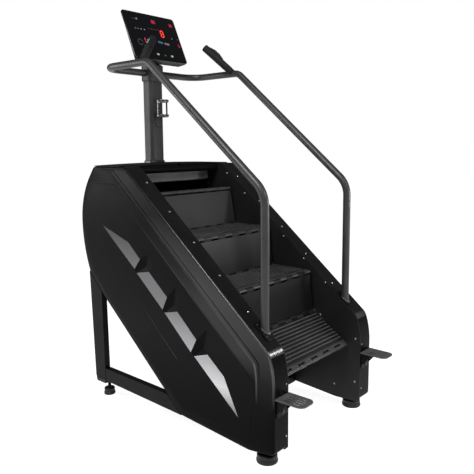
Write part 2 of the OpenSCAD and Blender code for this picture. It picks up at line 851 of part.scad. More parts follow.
side_shell_l();
side_shell_r();
side_inlays();
stringer_cap_l();
stringer_cap_r();
inner_wall_l();
inner_wall_r();
rear_legs();
base_rails();
cross_members();
top_cover();
valance();
rear_cover();
column();
column_boot();
head_collar();
handrail_l();
handrail_r();
crossbar();
grip_l();
grip_r();
speed_button_l();
speed_button_r();
console_bracket();
console_back();
console_screen();
bottle_holder();
foot_pegs();
front_foot_l();
front_foot_r();
rear_foot_l();
rear_foot_r();
screws();
shaft_bearings();
upper_shaft();
lower_shaft();
drive_wheel();
drive_belt();
drive_pulley();
gear_motor();
control_box();
power_inlet();
stair_chain_front();
stair_chain_back();
stair_chain_top();
stair_chain_low();
tread_0();
tread_1();
tread_2();
tread_3();
tread_4();
tread_7();
treads_back();
riser_0();
riser_1();
riser_2();
riser_3();
riser_6();
riser_7();
risers_back();
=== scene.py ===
"""Looks of the stair climber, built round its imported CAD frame.

Sizes are in millimetres until Shape.make() turns them into metres. X runs across the machine,
-Y faces the user and +Z is up. An outline is a list of (y, z) points.
"""

import math
from math import acos, asin, atan2, cos, hypot, pi, radians, sin, tan

import bmesh
import bpy
from mathutils import Matrix, Vector
from mathutils.geometry import tessellate_polygon


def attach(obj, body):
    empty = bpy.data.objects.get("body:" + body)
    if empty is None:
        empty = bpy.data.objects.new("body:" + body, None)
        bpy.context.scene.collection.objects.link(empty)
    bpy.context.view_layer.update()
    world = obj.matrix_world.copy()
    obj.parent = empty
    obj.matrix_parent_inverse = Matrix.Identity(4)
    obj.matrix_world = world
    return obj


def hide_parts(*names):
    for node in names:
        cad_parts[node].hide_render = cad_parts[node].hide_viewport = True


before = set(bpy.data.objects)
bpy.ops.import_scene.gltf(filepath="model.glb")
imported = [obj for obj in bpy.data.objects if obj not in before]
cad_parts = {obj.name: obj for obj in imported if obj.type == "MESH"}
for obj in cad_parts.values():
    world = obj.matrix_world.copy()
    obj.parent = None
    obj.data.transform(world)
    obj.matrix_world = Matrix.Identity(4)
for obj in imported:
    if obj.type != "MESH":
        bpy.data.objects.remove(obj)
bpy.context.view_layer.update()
MM = 0.001

# --- Camera ---

CAMERA_PLACE = Vector((-2.1674, -1.8895, 1.3105))
CAMERA_AZIMUTH = radians(-48.70)
CAMERA_PITCH = radians(7.76)
CAMERA_ROLL = radians(-0.54)
CAMERA_LENS = 44.22
SENSOR_WIDTH = 36.0
CAMERA_SHIFT = (0.0159, -0.0247)


def make_camera():
    data = bpy.data.cameras.new("camera")
    data.lens = CAMERA_LENS
    data.sensor_width = SENSOR_WIDTH
    data.shift_x, data.shift_y = CAMERA_SHIFT
    data.clip_end = 50.0
    camera = bpy.data.objects.new("camera", data)
    forward = Vector((-sin(CAMERA_AZIMUTH) * cos(CAMERA_PITCH),
                      cos(CAMERA_AZIMUTH) * cos(CAMERA_PITCH), -sin(CAMERA_PITCH)))
    right = Vector((cos(CAMERA_AZIMUTH), sin(CAMERA_AZIMUTH), 0.0))
    up = right.cross(forward)
    right_rolled = right * cos(CAMERA_ROLL) + up * sin(CAMERA_ROLL)
    up_rolled = up * cos(CAMERA_ROLL) - right * sin(CAMERA_ROLL)
    turn = Matrix((right_rolled, up_rolled, -forward)).transposed()
    camera.matrix_world = Matrix.Translation(CAMERA_PLACE) @ turn.to_4x4()
    bpy.context.scene.collection.objects.link(camera)
    bpy.context.scene.camera = camera


make_camera()

# --- Sizes shared with the CAD ---

WALL_X = 300.0
SKIN_X = 396.0
FIELD_X = 403.0
INLAY_X = 404.0
FRONT_Y = -563.0
REAR_Y = 696.0
CREASE_Y = -538.0
TOP_Z = 1215.0
TOP_FRONT_Y = 332.0
TOP_REAR_Y = 577.0
PANEL_ANGLE = radians(40.0)
CREASE_Z = TOP_Z - (TOP_FRONT_Y - CREASE_Y) * tan(PANEL_ANGLE)
FRONT_ARC_Z = 345.0

RAIL_R = 18.0
RAIL_X = 324.0
RAIL_Y = -460.0
RAIL_TOP_Z = 1703.0
CROSSBAR_Y = 568.0
COLUMN_Y = 562.0
COLUMN_W = 90.0
COLUMN_D = 72.0
RAIL_FLANGE_T = 7.0
PEG_X = 346.0
PEG_SHEET = 4.0
PEG_BOLT_Z = 240.0

RISE = 203.0
GOING = 258.0
TREAD_DEPTH = 237.0
RISER_DEPTH = 204.1
TREAD_W = 556.0
STEPS = 8
PITCH = hypot(RISE, GOING)
HALF_BELT = STEPS // 2 * PITCH
RUN_ANGLE = atan2(RISE, GOING)
SPROCKET_R = PITCH / pi
RUN_LEN = 3 * PITCH
FIRST_HINGE = Vector((-298.0, 471.0))
BEFORE_TURN = 88.0
DOWN = Vector((-cos(RUN_ANGLE), -sin(RUN_ANGLE)))
INWARD = Vector((sin(RUN_ANGLE), -cos(RUN_ANGLE)))
LOW_TANGENT = FIRST_HINGE + BEFORE_TURN * DOWN
TOP_TANGENT = LOW_TANGENT - RUN_LEN * DOWN
LOW_AXIS = LOW_TANGENT + SPROCKET_R * INWARD
TOP_AXIS = TOP_TANGENT + SPROCKET_R * INWARD


def incline_z(y):
    """Height of the boxes' sloping top edge."""
    return TOP_Z - (TOP_FRONT_Y - y) * tan(PANEL_ANGLE)


def belt_point(s):
    """A point of the stair belt, s along it from the upper end of its front run."""
    s %= 2 * HALF_BELT
    if s < RUN_LEN:
        return TOP_TANGENT + s * DOWN
    if s < HALF_BELT:
        a = (s - RUN_LEN) / SPROCKET_R
        return LOW_AXIS + SPROCKET_R * (sin(a) * DOWN - cos(a) * INWARD)
    if s < HALF_BELT + RUN_LEN:
        return LOW_AXIS + SPROCKET_R * INWARD - (s - HALF_BELT) * DOWN
    a = (s - HALF_BELT - RUN_LEN) / SPROCKET_R
    return TOP_AXIS + SPROCKET_R * (cos(a) * INWARD - sin(a) * DOWN)


def hinge(k):
    """The hinge behind tread k."""
    return belt_point(RUN_LEN - BEFORE_TURN - k * PITCH)


def nosing(k):
    """The hinge at the front of tread k, where it meets the riser under it."""
    a = hinge(k)
    b = hinge(k - 1)
    span = (b - a).length
    e = (b - a) / span
    x = (TREAD_DEPTH ** 2 - RISER_DEPTH ** 2 + span ** 2) / (2 * span)
    return a + e * x - Vector((-e.y, e.x)) * math.sqrt(TREAD_DEPTH ** 2 - x ** 2)


# --- Mesh tools ---

def bevel(piece, width, segments=2, angle=30.0):
    """Rounds the sharp edges of a piece, width in millimetres."""
    weld = piece.modifiers.new("weld", "WELD")
    weld.merge_threshold = 1e-5
    mod = piece.modifiers.new("bevel", "BEVEL")
    mod.width = width * MM
    mod.segments = segments
    mod.limit_method = "ANGLE"
    mod.angle_limit = radians(angle)
    mod.harden_normals = True
    return piece


def signed_area(loop):
    return sum(a[0] * b[1] - b[0] * a[1] for a, b in zip(loop, loop[1:] + loop[:1])) / 2


def fill(loops):
    """Triangles over an outline and its holes, as indices into the joined loops."""
    return [tuple(t) for t in tessellate_polygon([[Vector((*p, 0.0)) for p in loop]
                                                  for loop in loops])]


class Shape:
    """Points and faces that are gathered into one mesh."""

    def __init__(self):
        self.points = []
        self.faces = []

    def add(self, points, faces):
        base = len(self.points)
        self.points += [tuple(p) for p in points]
        self.faces += [tuple(base + i for i in f) for f in faces]
        return self

    def loft(self, rings, closed=True, capped=True):
        """Skins a list of rings of points."""
        n = len(rings[0])
        points = [p for ring in rings for p in ring]
        faces = []
        for r in range(len(rings) - 1):
            for i in range(n if closed else n - 1):
                j = (i + 1) % n
                faces.append((r * n + i, r * n + j, (r + 1) * n + j, (r + 1) * n + i))
        if capped:
            faces.append(tuple(range(n - 1, -1, -1)))
            faces.append(tuple((len(rings) - 1) * n + i for i in range(n)))
        return self.add(points, faces)

    def prism(self, outline, x0, x1, holes=()):
        """An outline in (y, z) run from x0 to x1, with holes through it."""
        loops = [list(outline)] + [list(h) for h in holes]
        flat = [p for loop in loops for p in loop]
        n = len(flat)
        points = [(x, *p) for x in (x0, x1) for p in flat]
        faces = []
        for t in fill(loops):
            faces.append(t)
            faces.append(tuple(n + i for i in reversed(t)))
        start = 0
        for loop in loops:
            m = len(loop)
            for i in range(m):
                j = (i + 1) % m
                faces.append((start + i, start + j, n + start + j, n + start + i))
            start += m
        return self.add(points, faces)

    def box(self, low, high):
        (x0, y0, z0), (x1, y1, z1) = low, high
        return self.prism([(y0, z0), (y1, z0), (y1, z1), (y0, z1)], x0, x1)

    def turned(self, start, profile, steps=32, axis=(0, 0, 1)):
        """A profile of (distance along, radius) turned about an axis from start."""
        axis = Vector(axis).normalized()
        side = axis.orthogonal().normalized()
        other = axis.cross(side)
        rings = []
        for along, radius in profile:
            centre = Vector(start) + axis * along
            rings.append([centre + (side * cos(a) + other * sin(a)) * radius
                          for a in around(steps)])
        return self.loft(rings)

    def placed(self, matrix):
        self.points = [tuple(matrix @ Vector(p)) for p in self.points]
        return self

    def mirrored(self):
        self.points = [(-p[0], p[1], p[2]) for p in self.points]
        self.faces = [tuple(reversed(f)) for f in self.faces]
        return self

    def laid(self):
        """Turns a prism over, so that its outline is in (x, y) and it runs along z."""
        self.points = [(p[1], p[2], p[0]) for p in self.points]
        return self

    def make(self, name, finish, body="root", smooth=35.0, node=None):
        """The shape as a piece in metres, riding on a body and standing for a CAD node. Faces
        that meet at less than the smooth angle are shaded as one."""
        mesh = bpy.data.meshes.new(name)
        mesh.from_pydata([Vector(p) * MM for p in self.points], [], self.faces)
        mesh.validate()
        bm = bmesh.new()
        bm.from_mesh(mesh)
        bmesh.ops.remove_doubles(bm, verts=bm.verts, dist=1e-6)
        bmesh.ops.recalc_face_normals(bm, faces=bm.faces)
        bm.to_mesh(mesh)
        bm.free()
        for polygon in mesh.polygons:
            polygon.use_smooth = smooth > 0
        if smooth > 0:
            mesh.set_sharp_from_angle(angle=radians(smooth))
        mesh.materials.append(finish.material)
        piece = bpy.data.objects.new(name, mesh)
        bpy.context.scene.collection.objects.link(piece)
        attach(piece, body)
        if node:
            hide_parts(node)
        return piece


def twins(shape, name, finish, body="root", smooth=35.0, node=None):
    """The pieces of a shape of the right side and of its mirror image at the left. A body or
    node that ends in _ is one of a pair as well."""
    pieces = []
    for tag in "lr":
        half = Shape().add(shape.points, shape.faces)
        if tag == "l":
            half.mirrored()
        own = [to + tag if to and to.endswith("_") else to for to in (body, node)]
        pieces.append(half.make(name + "_" + tag, finish, own[0], smooth, own[1]))
    return pieces


def arc(centre, r, a0, a1, n):
    """Points on an arc, angles in degrees."""
    return [(centre[0] + r * cos(a), centre[1] + r * sin(a))
            for a in (radians(a0 + (a1 - a0) * i / n) for i in range(n + 1))]


def around(n):
    """n angles spread over a full turn."""
    return [2 * pi * i / n for i in range(n)]


def fillet(a, b, c, r, n=6):
    """The rounded corner at b on the way from a to c."""
    a, b, c = Vector(a), Vector(b), Vector(c)
    u = (a - b).normalized()
    v = (c - b).normalized()
    half = u.angle(v) / 2
    p = b + u * r / tan(half)
    q = b + v * r / tan(half)
    o = b + (u + v).normalized() * r / sin(half)
    a0 = atan2(p.y - o.y, p.x - o.x)
    turn = (atan2(q.y - o.y, q.x - o.x) - a0 + 3 * pi) % (2 * pi) - pi
    return [(o.x + r * cos(a0 + turn * i / n), o.y + r * sin(a0 + turn * i / n))
            for i in range(n + 1)]


def inset(loop, amounts):
    """A counter-clockwise loop with edge i moved inward by amounts[i]."""
    n = len(loop)
    lines = []
    for i in range(n):
        a = Vector(loop[i])
        b = Vector(loop[(i + 1) % n])
        d = (b - a).normalized()
        lines.append((a + Vector((-d.y, d.x)) * amounts[i], d))
    result = []
    for i in range(n):
        p, d = lines[i - 1]
        q, e = lines[i]
        cross = d.x * e.y - d.y * e.x
        if abs(cross) < 1e-4:
            result.append((q.x, q.y))
        else:
            t = ((q.x - p.x) * e.y - (q.y - p.y) * e.x) / cross
            result.append((p.x + d.x * t, p.y + d.y * t))
    return result


def rounded_rect(w, h, r, n=8):
    """Outline of a rounded rectangle about the origin."""
    points = []
    for cx, cy, a in ((w / 2 - r, h / 2 - r, 0), (r - w / 2, h / 2 - r, 90),
                      (r - w / 2, r - h / 2, 180), (w / 2 - r, r - h / 2, 270)):
        points += arc((cx, cy), r, a, a + 90, n)
    return points


# --- Materials ---

class Nodes:
    """A tree of shader nodes. An input is a value, or the socket that it is linked to."""

    def __init__(self, tree):
        self.tree = tree

    def feed(self, node, inputs):
        for key, value in inputs.items():
            if isinstance(value, bpy.types.NodeSocket):
                self.tree.links.new(value, node.inputs[key])
            else:
                node.inputs[key].default_value = value

    def node(self, kind, inputs, output, **settings):
        """Adds a node and returns one of its outputs."""
        made = self.tree.nodes.new("ShaderNode" + kind)
        for key, value in settings.items():
            setattr(made, key, value)
        self.feed(made, inputs)
        return made.outputs[output]

    def span(self, value, low, high):
        """Maps 0..1 to low..high."""
        return self.node("MapRange", {"Value": value, "To Min": low, "To Max": high}, "Result")

    def ramp(self, value, stops):
        """Runs through two or more colours, each at its own value."""
        colour = self.node("ValToRGB", {"Fac": value}, "Color")
        elements = colour.node.color_ramp.elements
        while len(elements) < len(stops):
            elements.new(0.5)
        for element, (at, tone) in zip(elements, stops):
            element.position = at
            element.color = (*tone, 1.0)
        return colour

    def mixed(self, a, b, factor, blend="MIX"):
        return self.node("Mix", {"A": a, "B": b, "Factor": factor}, "Result",
                         data_type="RGBA", blend_type=blend)


class Finish(Nodes):
    """A material and the slot of the record that it belongs to."""

    def __init__(self, name, slot=None):
        self.slot = slot
        self.material = bpy.data.materials.new(name)
        self.material.use_nodes = True
        super().__init__(self.material.node_tree)
        self.place = self.node("TexCoord", {}, "Object")
        self.height = self.node("SeparateXYZ", {"Vector": self.place}, "Z")

    def look(self, inputs):
        self.feed(self.tree.nodes["Principled BSDF"], inputs)

    def noise(self, scale, detail=3.0, stretch=(1, 1, 1)):
        place = self.node("Mapping", {"Vector": self.place, "Scale": stretch}, "Vector")
        return self.node("TexNoise", {"Vector": place, "Scale": scale, "Detail": detail}, "Fac")

    def bump(self, height, distance):
        """Relief by a height from 0 to 1, distance in millimetres."""
        self.look({"Normal": self.node("Bump", {"Height": height, "Distance": distance * MM},
                                       "Normal")})

    def grain(self, rough, scale, depth):
        """Smeared roughness and a fine grain, as on moulded or coated surfaces."""
        self.look({"Roughness": self.span(self.noise(23.0), rough - 0.06, rough + 0.08)})
        self.bump(self.noise(scale, 2.0), depth)


def grey(tone):
    """A grey that is a touch blue."""
    return (tone, tone, 1.04 * tone)


def level(value):
    return (value, value, value)


def scaled(colour, by):
    return [c * by for c in colour]


def coated(name, slot, colour, rough, grain=900.0, grain_depth=0.03, sheen=0.5, metallic=0.0,
           mottle=0.25):
    """Powder coat, moulded plastic or rubber: a mottled colour under a fine grain."""
    coat = Finish(name, slot)
    coat.look({"Metallic": metallic, "Specular IOR Level": sheen,
               "Base Color": coat.ramp(coat.noise(7.0, 4.0), [
                   (0.3, scaled(colour, 1 - mottle)), (0.7, scaled(colour, 1 + mottle))])})
    coat.grain(rough, grain, grain_depth)
    return coat


# Painted highlight: a strip of the side boxes' field beside the band is painted lighter and
# # glossier, where light glances off the real shell. How far its edge lies from the middle of the
# # machine, square to the slope, how soft the edge is, and how strong the painted highlight is at
# # heights in metres
PAINTED_GLOW_EDGE = 578.0
PAINTED_GLOW_SOFT = 10.0
PAINTED_GLOW_LEVELS = [(0.36, 0.0), (0.46, 1.0), (0.62, 1.0), (0.78, 0.25), (0.95, 0.0)]
HEIGHT_SCALE = 0.8


def painted_glow_amount(coat):
    """How much of the painted highlight strip a point of the field gets, 0 to 1."""
    across = coat.node("VectorMath", {0: coat.place, 1: (0.0, -sin(PANEL_ANGLE),
                                                         cos(PANEL_ANGLE))},
                       "Value", operation="DOT_PRODUCT")
    near = coat.ramp(across, [((PAINTED_GLOW_EDGE - PAINTED_GLOW_SOFT) * MM, level(0.0)),
                              (PAINTED_GLOW_EDGE * MM, level(1.0))])
    part = coat.ramp(coat.height, [(h, level(value)) for h, value in PAINTED_GLOW_LEVELS])
    return coat.node("Math", {0: near, 1: part}, "Value", operation="MULTIPLY")


def graded(name, slot, fade, rough, grain, grain_depth, painted_glow=None):
    """A coat whose tone and sheen change up the surface by stops of (height in metres, tone,
    sheen), which paints light and shade by height. A painted glow is the (tone, sheen) of the
    painted highlight strip beside the band."""
    coat = Finish(name, slot)
    height = coat.span(coat.height, 0.0, HEIGHT_SCALE)
    tone = coat.ramp(height, [(HEIGHT_SCALE * h, grey(c)) for h, c, sheen in fade])
    gloss = coat.ramp(height, [(HEIGHT_SCALE * h, level(sheen)) for h, c, sheen in fade])
    # Painted highlight: beside the band the coat is mixed toward a lighter, glossier tone
    if painted_glow:
        amount = painted_glow_amount(coat)
        tone, gloss = [coat.mixed(plain, (*level(lit), 1.0), amount)
                       for plain, lit in zip((tone, gloss), painted_glow)]
    cloud = coat.ramp(coat.noise(7.0, 4.0), [(0.3, level(0.8)), (0.7, level(1.0))])
    coat.look({"Base Color": coat.mixed(tone, cloud, 1.0, "MULTIPLY"),
               "Specular IOR Level": gloss})
    coat.grain(rough, grain, grain_depth)
    return coat


def metal(name, slot, colour, rough, stretch=(1, 1, 1), scale=400.0):
    """Bare metal with tool marks drawn out along an axis."""
    bare = Finish(name, slot)
    marks = bare.noise(scale, 4.0, stretch)
    bare.look({"Metallic": 1.0, "Roughness": bare.span(marks, rough - 0.08, rough + 0.1),
               "Base Color": bare.ramp(bare.noise(12.0), [(0.3, scaled(colour, 0.82)),
                                                          (0.7, colour)])})
    bare.bump(marks, 0.01)
    return bare


def lamp_finish(name, colour, strength):
    """A lit segment behind the console's glass, a little uneven as its lamps are."""
    lit = Finish(name, "screen_glass")
    glow = lit.noise(160.0, 2.0)
    lit.look({"Emission Color": lit.ramp(glow, [(0.2, scaled(colour, 0.45)), (0.75, colour)]),
              "Emission Strength": strength, "Roughness": 0.25,
              "Base Color": lit.ramp(glow, [(0.0, (0.01, 0.01, 0.012)), (1.0, level(0.03))])})
    return lit


def silver_with_painted_reflection():
    """Brushed silver whose colour runs from dark at the top of the slope to light at its foot, a
    painted reflection.
    """
    silver = Finish("inlay_silver", "inlay_silver")
    down = silver.node("MapRange", {"Value": silver.height, "From Min": 0.93,
                                    "From Max": 0.20}, "Result")
    # Painted reflection: the silver's colour is set by height
    base = silver.ramp(down, [
        (0.0, grey(0.012)), (0.12, grey(0.05)), (0.25, grey(0.10)), (0.5, grey(0.16)),
        (0.76, (0.38, 0.38, 0.39)), (0.88, (0.60, 0.60, 0.61)), (1.0, grey(0.22))])
    brushed = silver.noise(260.0, 5.0, (1.0, 0.06, 1.0))
    marks = silver.ramp(brushed, [(0.3, level(0.6)), (0.7, level(1.0))])
    silver.look({"Base Color": silver.mixed(base, marks, 0.35, "MULTIPLY"), "Metallic": 0.35,
                 "Roughness": silver.span(brushed, 0.38, 0.55)})
    silver.bump(brushed, 0.02)
    return silver


def screen_finish():
    """Polished black panel with a trace of dust in the gloss."""
    glass = Finish("screen_glass", "screen_glass")
    dust = glass.noise(60.0, 4.0)
    glass.look({"Base Color": glass.ramp(dust, [(0.2, (0.0016, 0.0018, 0.0024)),
                                                (0.8, (0.003, 0.0032, 0.004))]),
                "Roughness": glass.span(dust, 0.10, 0.20), "Specular IOR Level": 0.35})
    glass.bump(glass.noise(14.0, 2.0), 0.01)
    return glass


# Side boxes, from the shell's face to the bend at its front corner, with light and shade painted
# into several of their finishes
# Painted shade and sheen: the shell is darker near the floor, its sheen is set by height, and a
# painted highlight strip lies beside the band
SHELL = graded("shell_black", "shell_black",
               [(0.15, 0.0030, 0.03), (0.45, 0.0044, 0.055), (0.80, 0.0044, 0.035),
                (1.05, 0.0042, 0.022)], 0.33, 1100, 0.02, painted_glow=(0.015, 0.20))
# Painted shade: the folded facets between the inlays are a darker copy of the shell
FOLD_PAINTED_SHADE = coated("fold_painted_shade", "shell_black", grey(0.0018), 0.40, 1100, 0.02, 0.035)
# Painted sheen: the band is lighter and glossier at mid height, where light glances off it, and
# dark above and below
BAND_PAINTED_SHEEN = graded("band_painted_sheen", "shell_black",
              [(0.26, 0.0034, 0.045), (0.36, 0.007, 0.08), (0.52, 0.019, 0.22),
               (0.66, 0.026, 0.28), (0.84, 0.018, 0.16), (1.02, 0.0046, 0.025)],
              0.33, 1100, 0.02)
# Painted highlight: the bead along the band is lighter and glossier at mid height and dark at the
# top and bottom
BEAD_PAINTED_HIGHLIGHT = graded("bead_painted_highlight", "shell_black",
              [(0.26, 0.003, 0.045), (0.42, 0.030, 0.75), (0.60, 0.034, 0.80),
               (0.75, 0.024, 0.45), (1.0, 0.006, 0.12)], 0.26, 1100, 0.01)
FLANGE = coated("flange_black", "shell_black", grey(0.0062), 0.30, 1500, 0.018, 0.12)
# Painted shade: the part of the rim that faces the user is a darker copy of the flange
FRONT_PAINTED_SHADE = coated("front_painted_shade", "shell_black", grey(0.0022), 0.34, 1500, 0.018, 0.03)
# Painted highlight: the bend at the box's front corner is a lighter, glossier copy of the flange
BEND_PAINTED_HIGHLIGHT = coated("bend_painted_highlight", "shell_black", grey(0.008), 0.30, 1500, 0.012, 0.5)
INLAY = silver_with_painted_reflection()

# Frame, rails and stairs
WALL = coated("wall_black", "wall_black", grey(0.0085), 0.5, 1300, 0.02, 0.2)
FRAME_BLACK = coated("frame_black", "frame_black", grey(0.0036), 0.42, 1400, 0.02, 0.09)
RAIL = coated("rail_grey", "rail_grey", grey(0.023), 0.38, 1500, 0.003, 0.36)
COLUMN = coated("column_grey", "rail_grey", grey(0.022), 0.40, 1500, 0.006, 0.22)
BOOT = coated("boot_gloss", "shell_black", grey(0.012), 0.32, 900, 0.01, 0.4)
GLOSS = coated("holder_gloss", "rail_grey", grey(0.030), 0.16, 800, 0.01, 0.9)
TREAD = coated("tread_black", "tread_black", grey(0.010), 0.45, 900, 0.03, 0.2)
# Painted light: the tread ribs' tops are a lighter grey than the plate and its grooves
RIB_TOP_PAINTED_LIGHT = coated("rib_top_painted_light", "tread_black", grey(0.050), 0.42, 900, 0.02, 0.4)
# Painted light and shade: the risers are darker low down and lighter near the top of the stair
RISER_PAINTED_LIGHT = graded("riser_grey", "riser_grey",
               [(0.60, 0.0076, 0.08), (0.76, 0.0150, 0.15), (0.98, 0.0240, 0.22)],
               0.42, 1000, 0.015)
# Painted light: the nosings are a lighter copy of the riser grey, lifting their shaded fronts
NOSE_PAINTED_LIGHT = coated("nose_painted_light", "riser_grey", grey(0.032), 0.42, 1000, 0.015, 0.3)
VALANCE = coated("valance_grey", "rail_grey", grey(0.16), 0.45, 1000, 0.02)

# Rubber, plastic and bare metal
GRIP = coated("grip_rubber", "grip_rubber", level(0.008), 0.55, 700, 0.03, 0.2)
FOOT = coated("foot_rubber", "foot_rubber", level(0.008), 0.5, 600, 0.06, 0.3)
CONSOLE = coated("console_plastic", "console_plastic", grey(0.003), 0.38, 1200, 0.02, 0.22)
PEG = coated("peg_grey", "peg_grey", grey(0.055), 0.42, 1300, 0.02)
MOTOR = coated("motor_grey", "motor_grey", (0.055, 0.06, 0.065), 0.45)
BUTTON = coated("button_silver", "button_silver", (0.16, 0.165, 0.17), 0.30, 900, 0.01,
                metallic=0.4, mottle=0.05)
STEEL = metal("steel", "steel", (0.30, 0.30, 0.32), 0.34, (1.0, 30.0, 30.0), 120.0)
ZINC = metal("screw_zinc", "screw_zinc", (0.34, 0.34, 0.35), 0.34)
BLACK_BOLT = metal("black_bolt", "screw_zinc", grey(0.05), 0.36)

# Console: its glass and the lit marks behind it
SCREEN = screen_finish()
RED = lamp_finish("lamp_red", (0.80, 0.015, 0.07), 1.5)
ORANGE = lamp_finish("lamp_orange", (1.0, 0.045, 0.02), 1.8)
BLUE = lamp_finish("lamp_blue", (0.06, 0.16, 0.34), 0.8)
PINK = lamp_finish("lamp_pink", (0.36, 0.22, 0.26), 0.7)
WHITE = lamp_finish("lamp_white", (0.45, 0.47, 0.50), 0.7)
WHITE_DIM = lamp_finish("lamp_dim_white", (0.14, 0.16, 0.17), 0.6)
YELLOW = lamp_finish("lamp_yellow", (0.62, 0.66, 0.42), 0.9)
DIM_RED = lamp_finish("lamp_dim_red", (0.20, 0.015, 0.03), 0.6)

# CAD nodes that keep their own shape: finish, and bevel width in millimetres
KEPT = {
    "inner_wall_l": (WALL, 0), "inner_wall_r": (WALL, 0),
    "cross_members": (FRAME_BLACK, 3), "rear_cover": (SHELL, 0.8),
    "shaft_bearings": (MOTOR, 1.2), "upper_shaft": (STEEL, 0.6), "lower_shaft": (STEEL, 0.6),
    "drive_wheel": (MOTOR, 1.0), "drive_belt": (FOOT, 0.8), "drive_pulley": (STEEL, 0.8),
    "gear_motor": (MOTOR, 2.0), "control_box": (MOTOR, 2.0), "power_inlet": (CONSOLE, 0.8),
    "console_bracket": (FRAME_BLACK, 2.0),
    "stair_chain_front": (STEEL, 0), "stair_chain_back": (STEEL, 0),
    "stair_chain_top": (STEEL, 0), "stair_chain_low": (STEEL, 0),
}


def dress_node(name, finish, width):
    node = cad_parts[name]
    node.data.materials.clear()
    node.data.materials.append(finish.material)
    if width:
        bevel(node, width, 2, 40.0)


for kept_name, (kept_finish, kept_bevel) in KEPT.items():
    dress_node(kept_name, kept_finish, kept_bevel)

# --- Side boxes ---

FRONT_R = ((CREASE_Y - FRONT_Y) ** 2 + (CREASE_Z - FRONT_ARC_Z) ** 2) / (2 * (CREASE_Y - FRONT_Y))
FRONT_TURN = math.degrees(asin((CREASE_Z - FRONT_ARC_Z) / FRONT_R))
REAR_LOW_R = 689.0
REAR_UP_R = 386.0
REAR_MID_Z = 930.0
REAR_LOW_Z = 665.0
REAR_TURN = math.degrees(asin((REAR_LOW_Z - REAR_MID_Z) / REAR_LOW_R))
FRONT_LOW_Z = 62.0
FILLET_STEPS = 6

# Corners of a side box counter-clockwise: place, rounding, whether the edge that leaves it
# carries the broad band (1) or only the narrow one (0), and how deep its groove is
BOX_CORNERS = (
    [((FRONT_Y, FRONT_LOW_Z), 22, 0, 0), ((-430, 44), 90, 0, 0), ((-31, 73), 30, 0, 0),
     ((96, 176), 30, 0, 0), ((500, 524), 0, 0, 0)]
    + [(p, 0, 0, 0) for p in arc((REAR_Y - REAR_LOW_R, REAR_MID_Z), REAR_LOW_R, REAR_TURN, 0, 10)]
    + [(p, 0, 0, 0) for p in arc((REAR_Y - REAR_UP_R, REAR_MID_Z), REAR_UP_R, 4, 35, 8)]
    + [((TOP_REAR_Y, TOP_Z), 30, 0, 0), ((TOP_FRONT_Y, TOP_Z), 30, 1, 0.3),
       ((CREASE_Y, CREASE_Z), 56, 1, 1)]
    + [(p, 0, 1, 0.9 - 0.1 * i) for i, p in
       enumerate(arc((FRONT_Y + FRONT_R, FRONT_ARC_Z), FRONT_R, 180 - FRONT_TURN * 0.75, 180, 8))]
    + [((FRONT_Y + 0.05, 250), 0, 1, 0)]
)


def box_ring(broad_x, broad, narrow_x, narrow):
    """The outline of a side box moved in by broad along its front and by narrow elsewhere,
    with how far out from the middle each stands."""
    loop = [c[0] for c in BOX_CORNERS]
    moved = inset(loop, [broad if c[2] else narrow for c in BOX_CORNERS])
    ring = []
    n = len(moved)
    for i, (place, r, wide, deep) in enumerate(BOX_CORNERS):
        x = narrow_x + (broad_x - narrow_x) * deep
        turned = [moved[i]]
        if r:
            turned = fillet(moved[i - 1], moved[i], moved[(i + 1) % n], r, FILLET_STEPS)
        ring += [(x, p[0], p[1]) for p in turned]
    return ring


# Section of the shell from its inner edge to the face, as (x, distance from the edge): first
# along the front, where a band and a groove follow the edge, then elsewhere
SHELL_SECTION = [
    (303.6, 0, 303.6, 0), (391.0, 0, 391.0, 0), (394.0, 0.7, 394.4, 0.8),
    (396.2, 2.3, 397.0, 2.2), (397.6, 4.8, 398.8, 4.6), (398.2, 8.0, 399.8, 8.0),
    (399.4, 61.0, 400.2, 11.0), (399.2, 63.5, 400.4, 12.0), (398.2, 64.8, 400.5, 13.0),
    (395.0, 65.8, 400.6, 14.0), (395.0, 70.0, 400.7, 15.0), (398.2, 71.0, 400.8, 16.0),
    (399.2, 72.4, 400.9, 17.0), (399.0, 84.0, 401.2, 19.0), (399.4, 86.4, 401.3, 20.0),
    (401.2, 89.6, 401.5, 21.0), (401.7, 92.0, 401.7, 22.0),
]
FACE_X = 401.7
FIELD = [(-470, 335), (-440, 120), (-60, 120), (62, 205), (487, 560), (590, 675), (632, 790),
         (650, 920), (620, 1040), (560, 1130), (400, 1130), (310, 1018), (-395, 412)]
INLAYS = [
    [(508, 920), (313, 854), (229, 780), (271, 728), (416, 843)],
    [(256, 710), (168, 727), (46, 625), (79, 561)],
    [(65, 549), (-20, 569), (-138, 463), (-102, 398)],
    [(-123, 384), (-205, 410), (-299, 336), (-378, 176)],
]
# A fine raised bead under the inlays, widest at its lower end, in a lighter grey that paints the
# highlight along it
FIELD_HIGHLIGHT_LINE = [(-10, 345), (-8.6, 343.6), (226, 556.4), (226, 557.0)]
FACET_DEPTH = 9.0
FACET_PEAKS = [((168, 813), (140, 761)), ((-15, 683), (-34, 607)), ((-204, 523), (-215, 459))]


def facets():
    """The folded facets between neighbouring inlays, each with the low point of its fold."""
    made = []
    for i, (high, front) in enumerate(FACET_PEAKS):
        side, tip = INLAYS[i][2], INLAYS[i][3]
        start, corner = INLAYS[i + 1][0], INLAYS[i + 1][1]
        deep = ((side[0] + corner[0]) / 2, (side[1] + corner[1]) / 2 - 8)
        made.append(([side, high, front, corner, start, tip], deep))
    return made


def corner_start(which):
    """Where in a ring the points of a corner start, and the last of them."""
    start = 0
    for place, r, wide, deep in BOX_CORNERS:
        count = FILLET_STEPS + 1 if r else 1
        if place == which:
            return start, start + count - 1
        start += count
    return start, start


def run(rings, first, last):
    """The part of each ring from one of its points on to another."""
    n = len(rings[0])
    picked = [i % n for i in range(first, last + 1 + (n if last < first else 0))]
    return [[ring[i] for i in picked] for ring in rings]


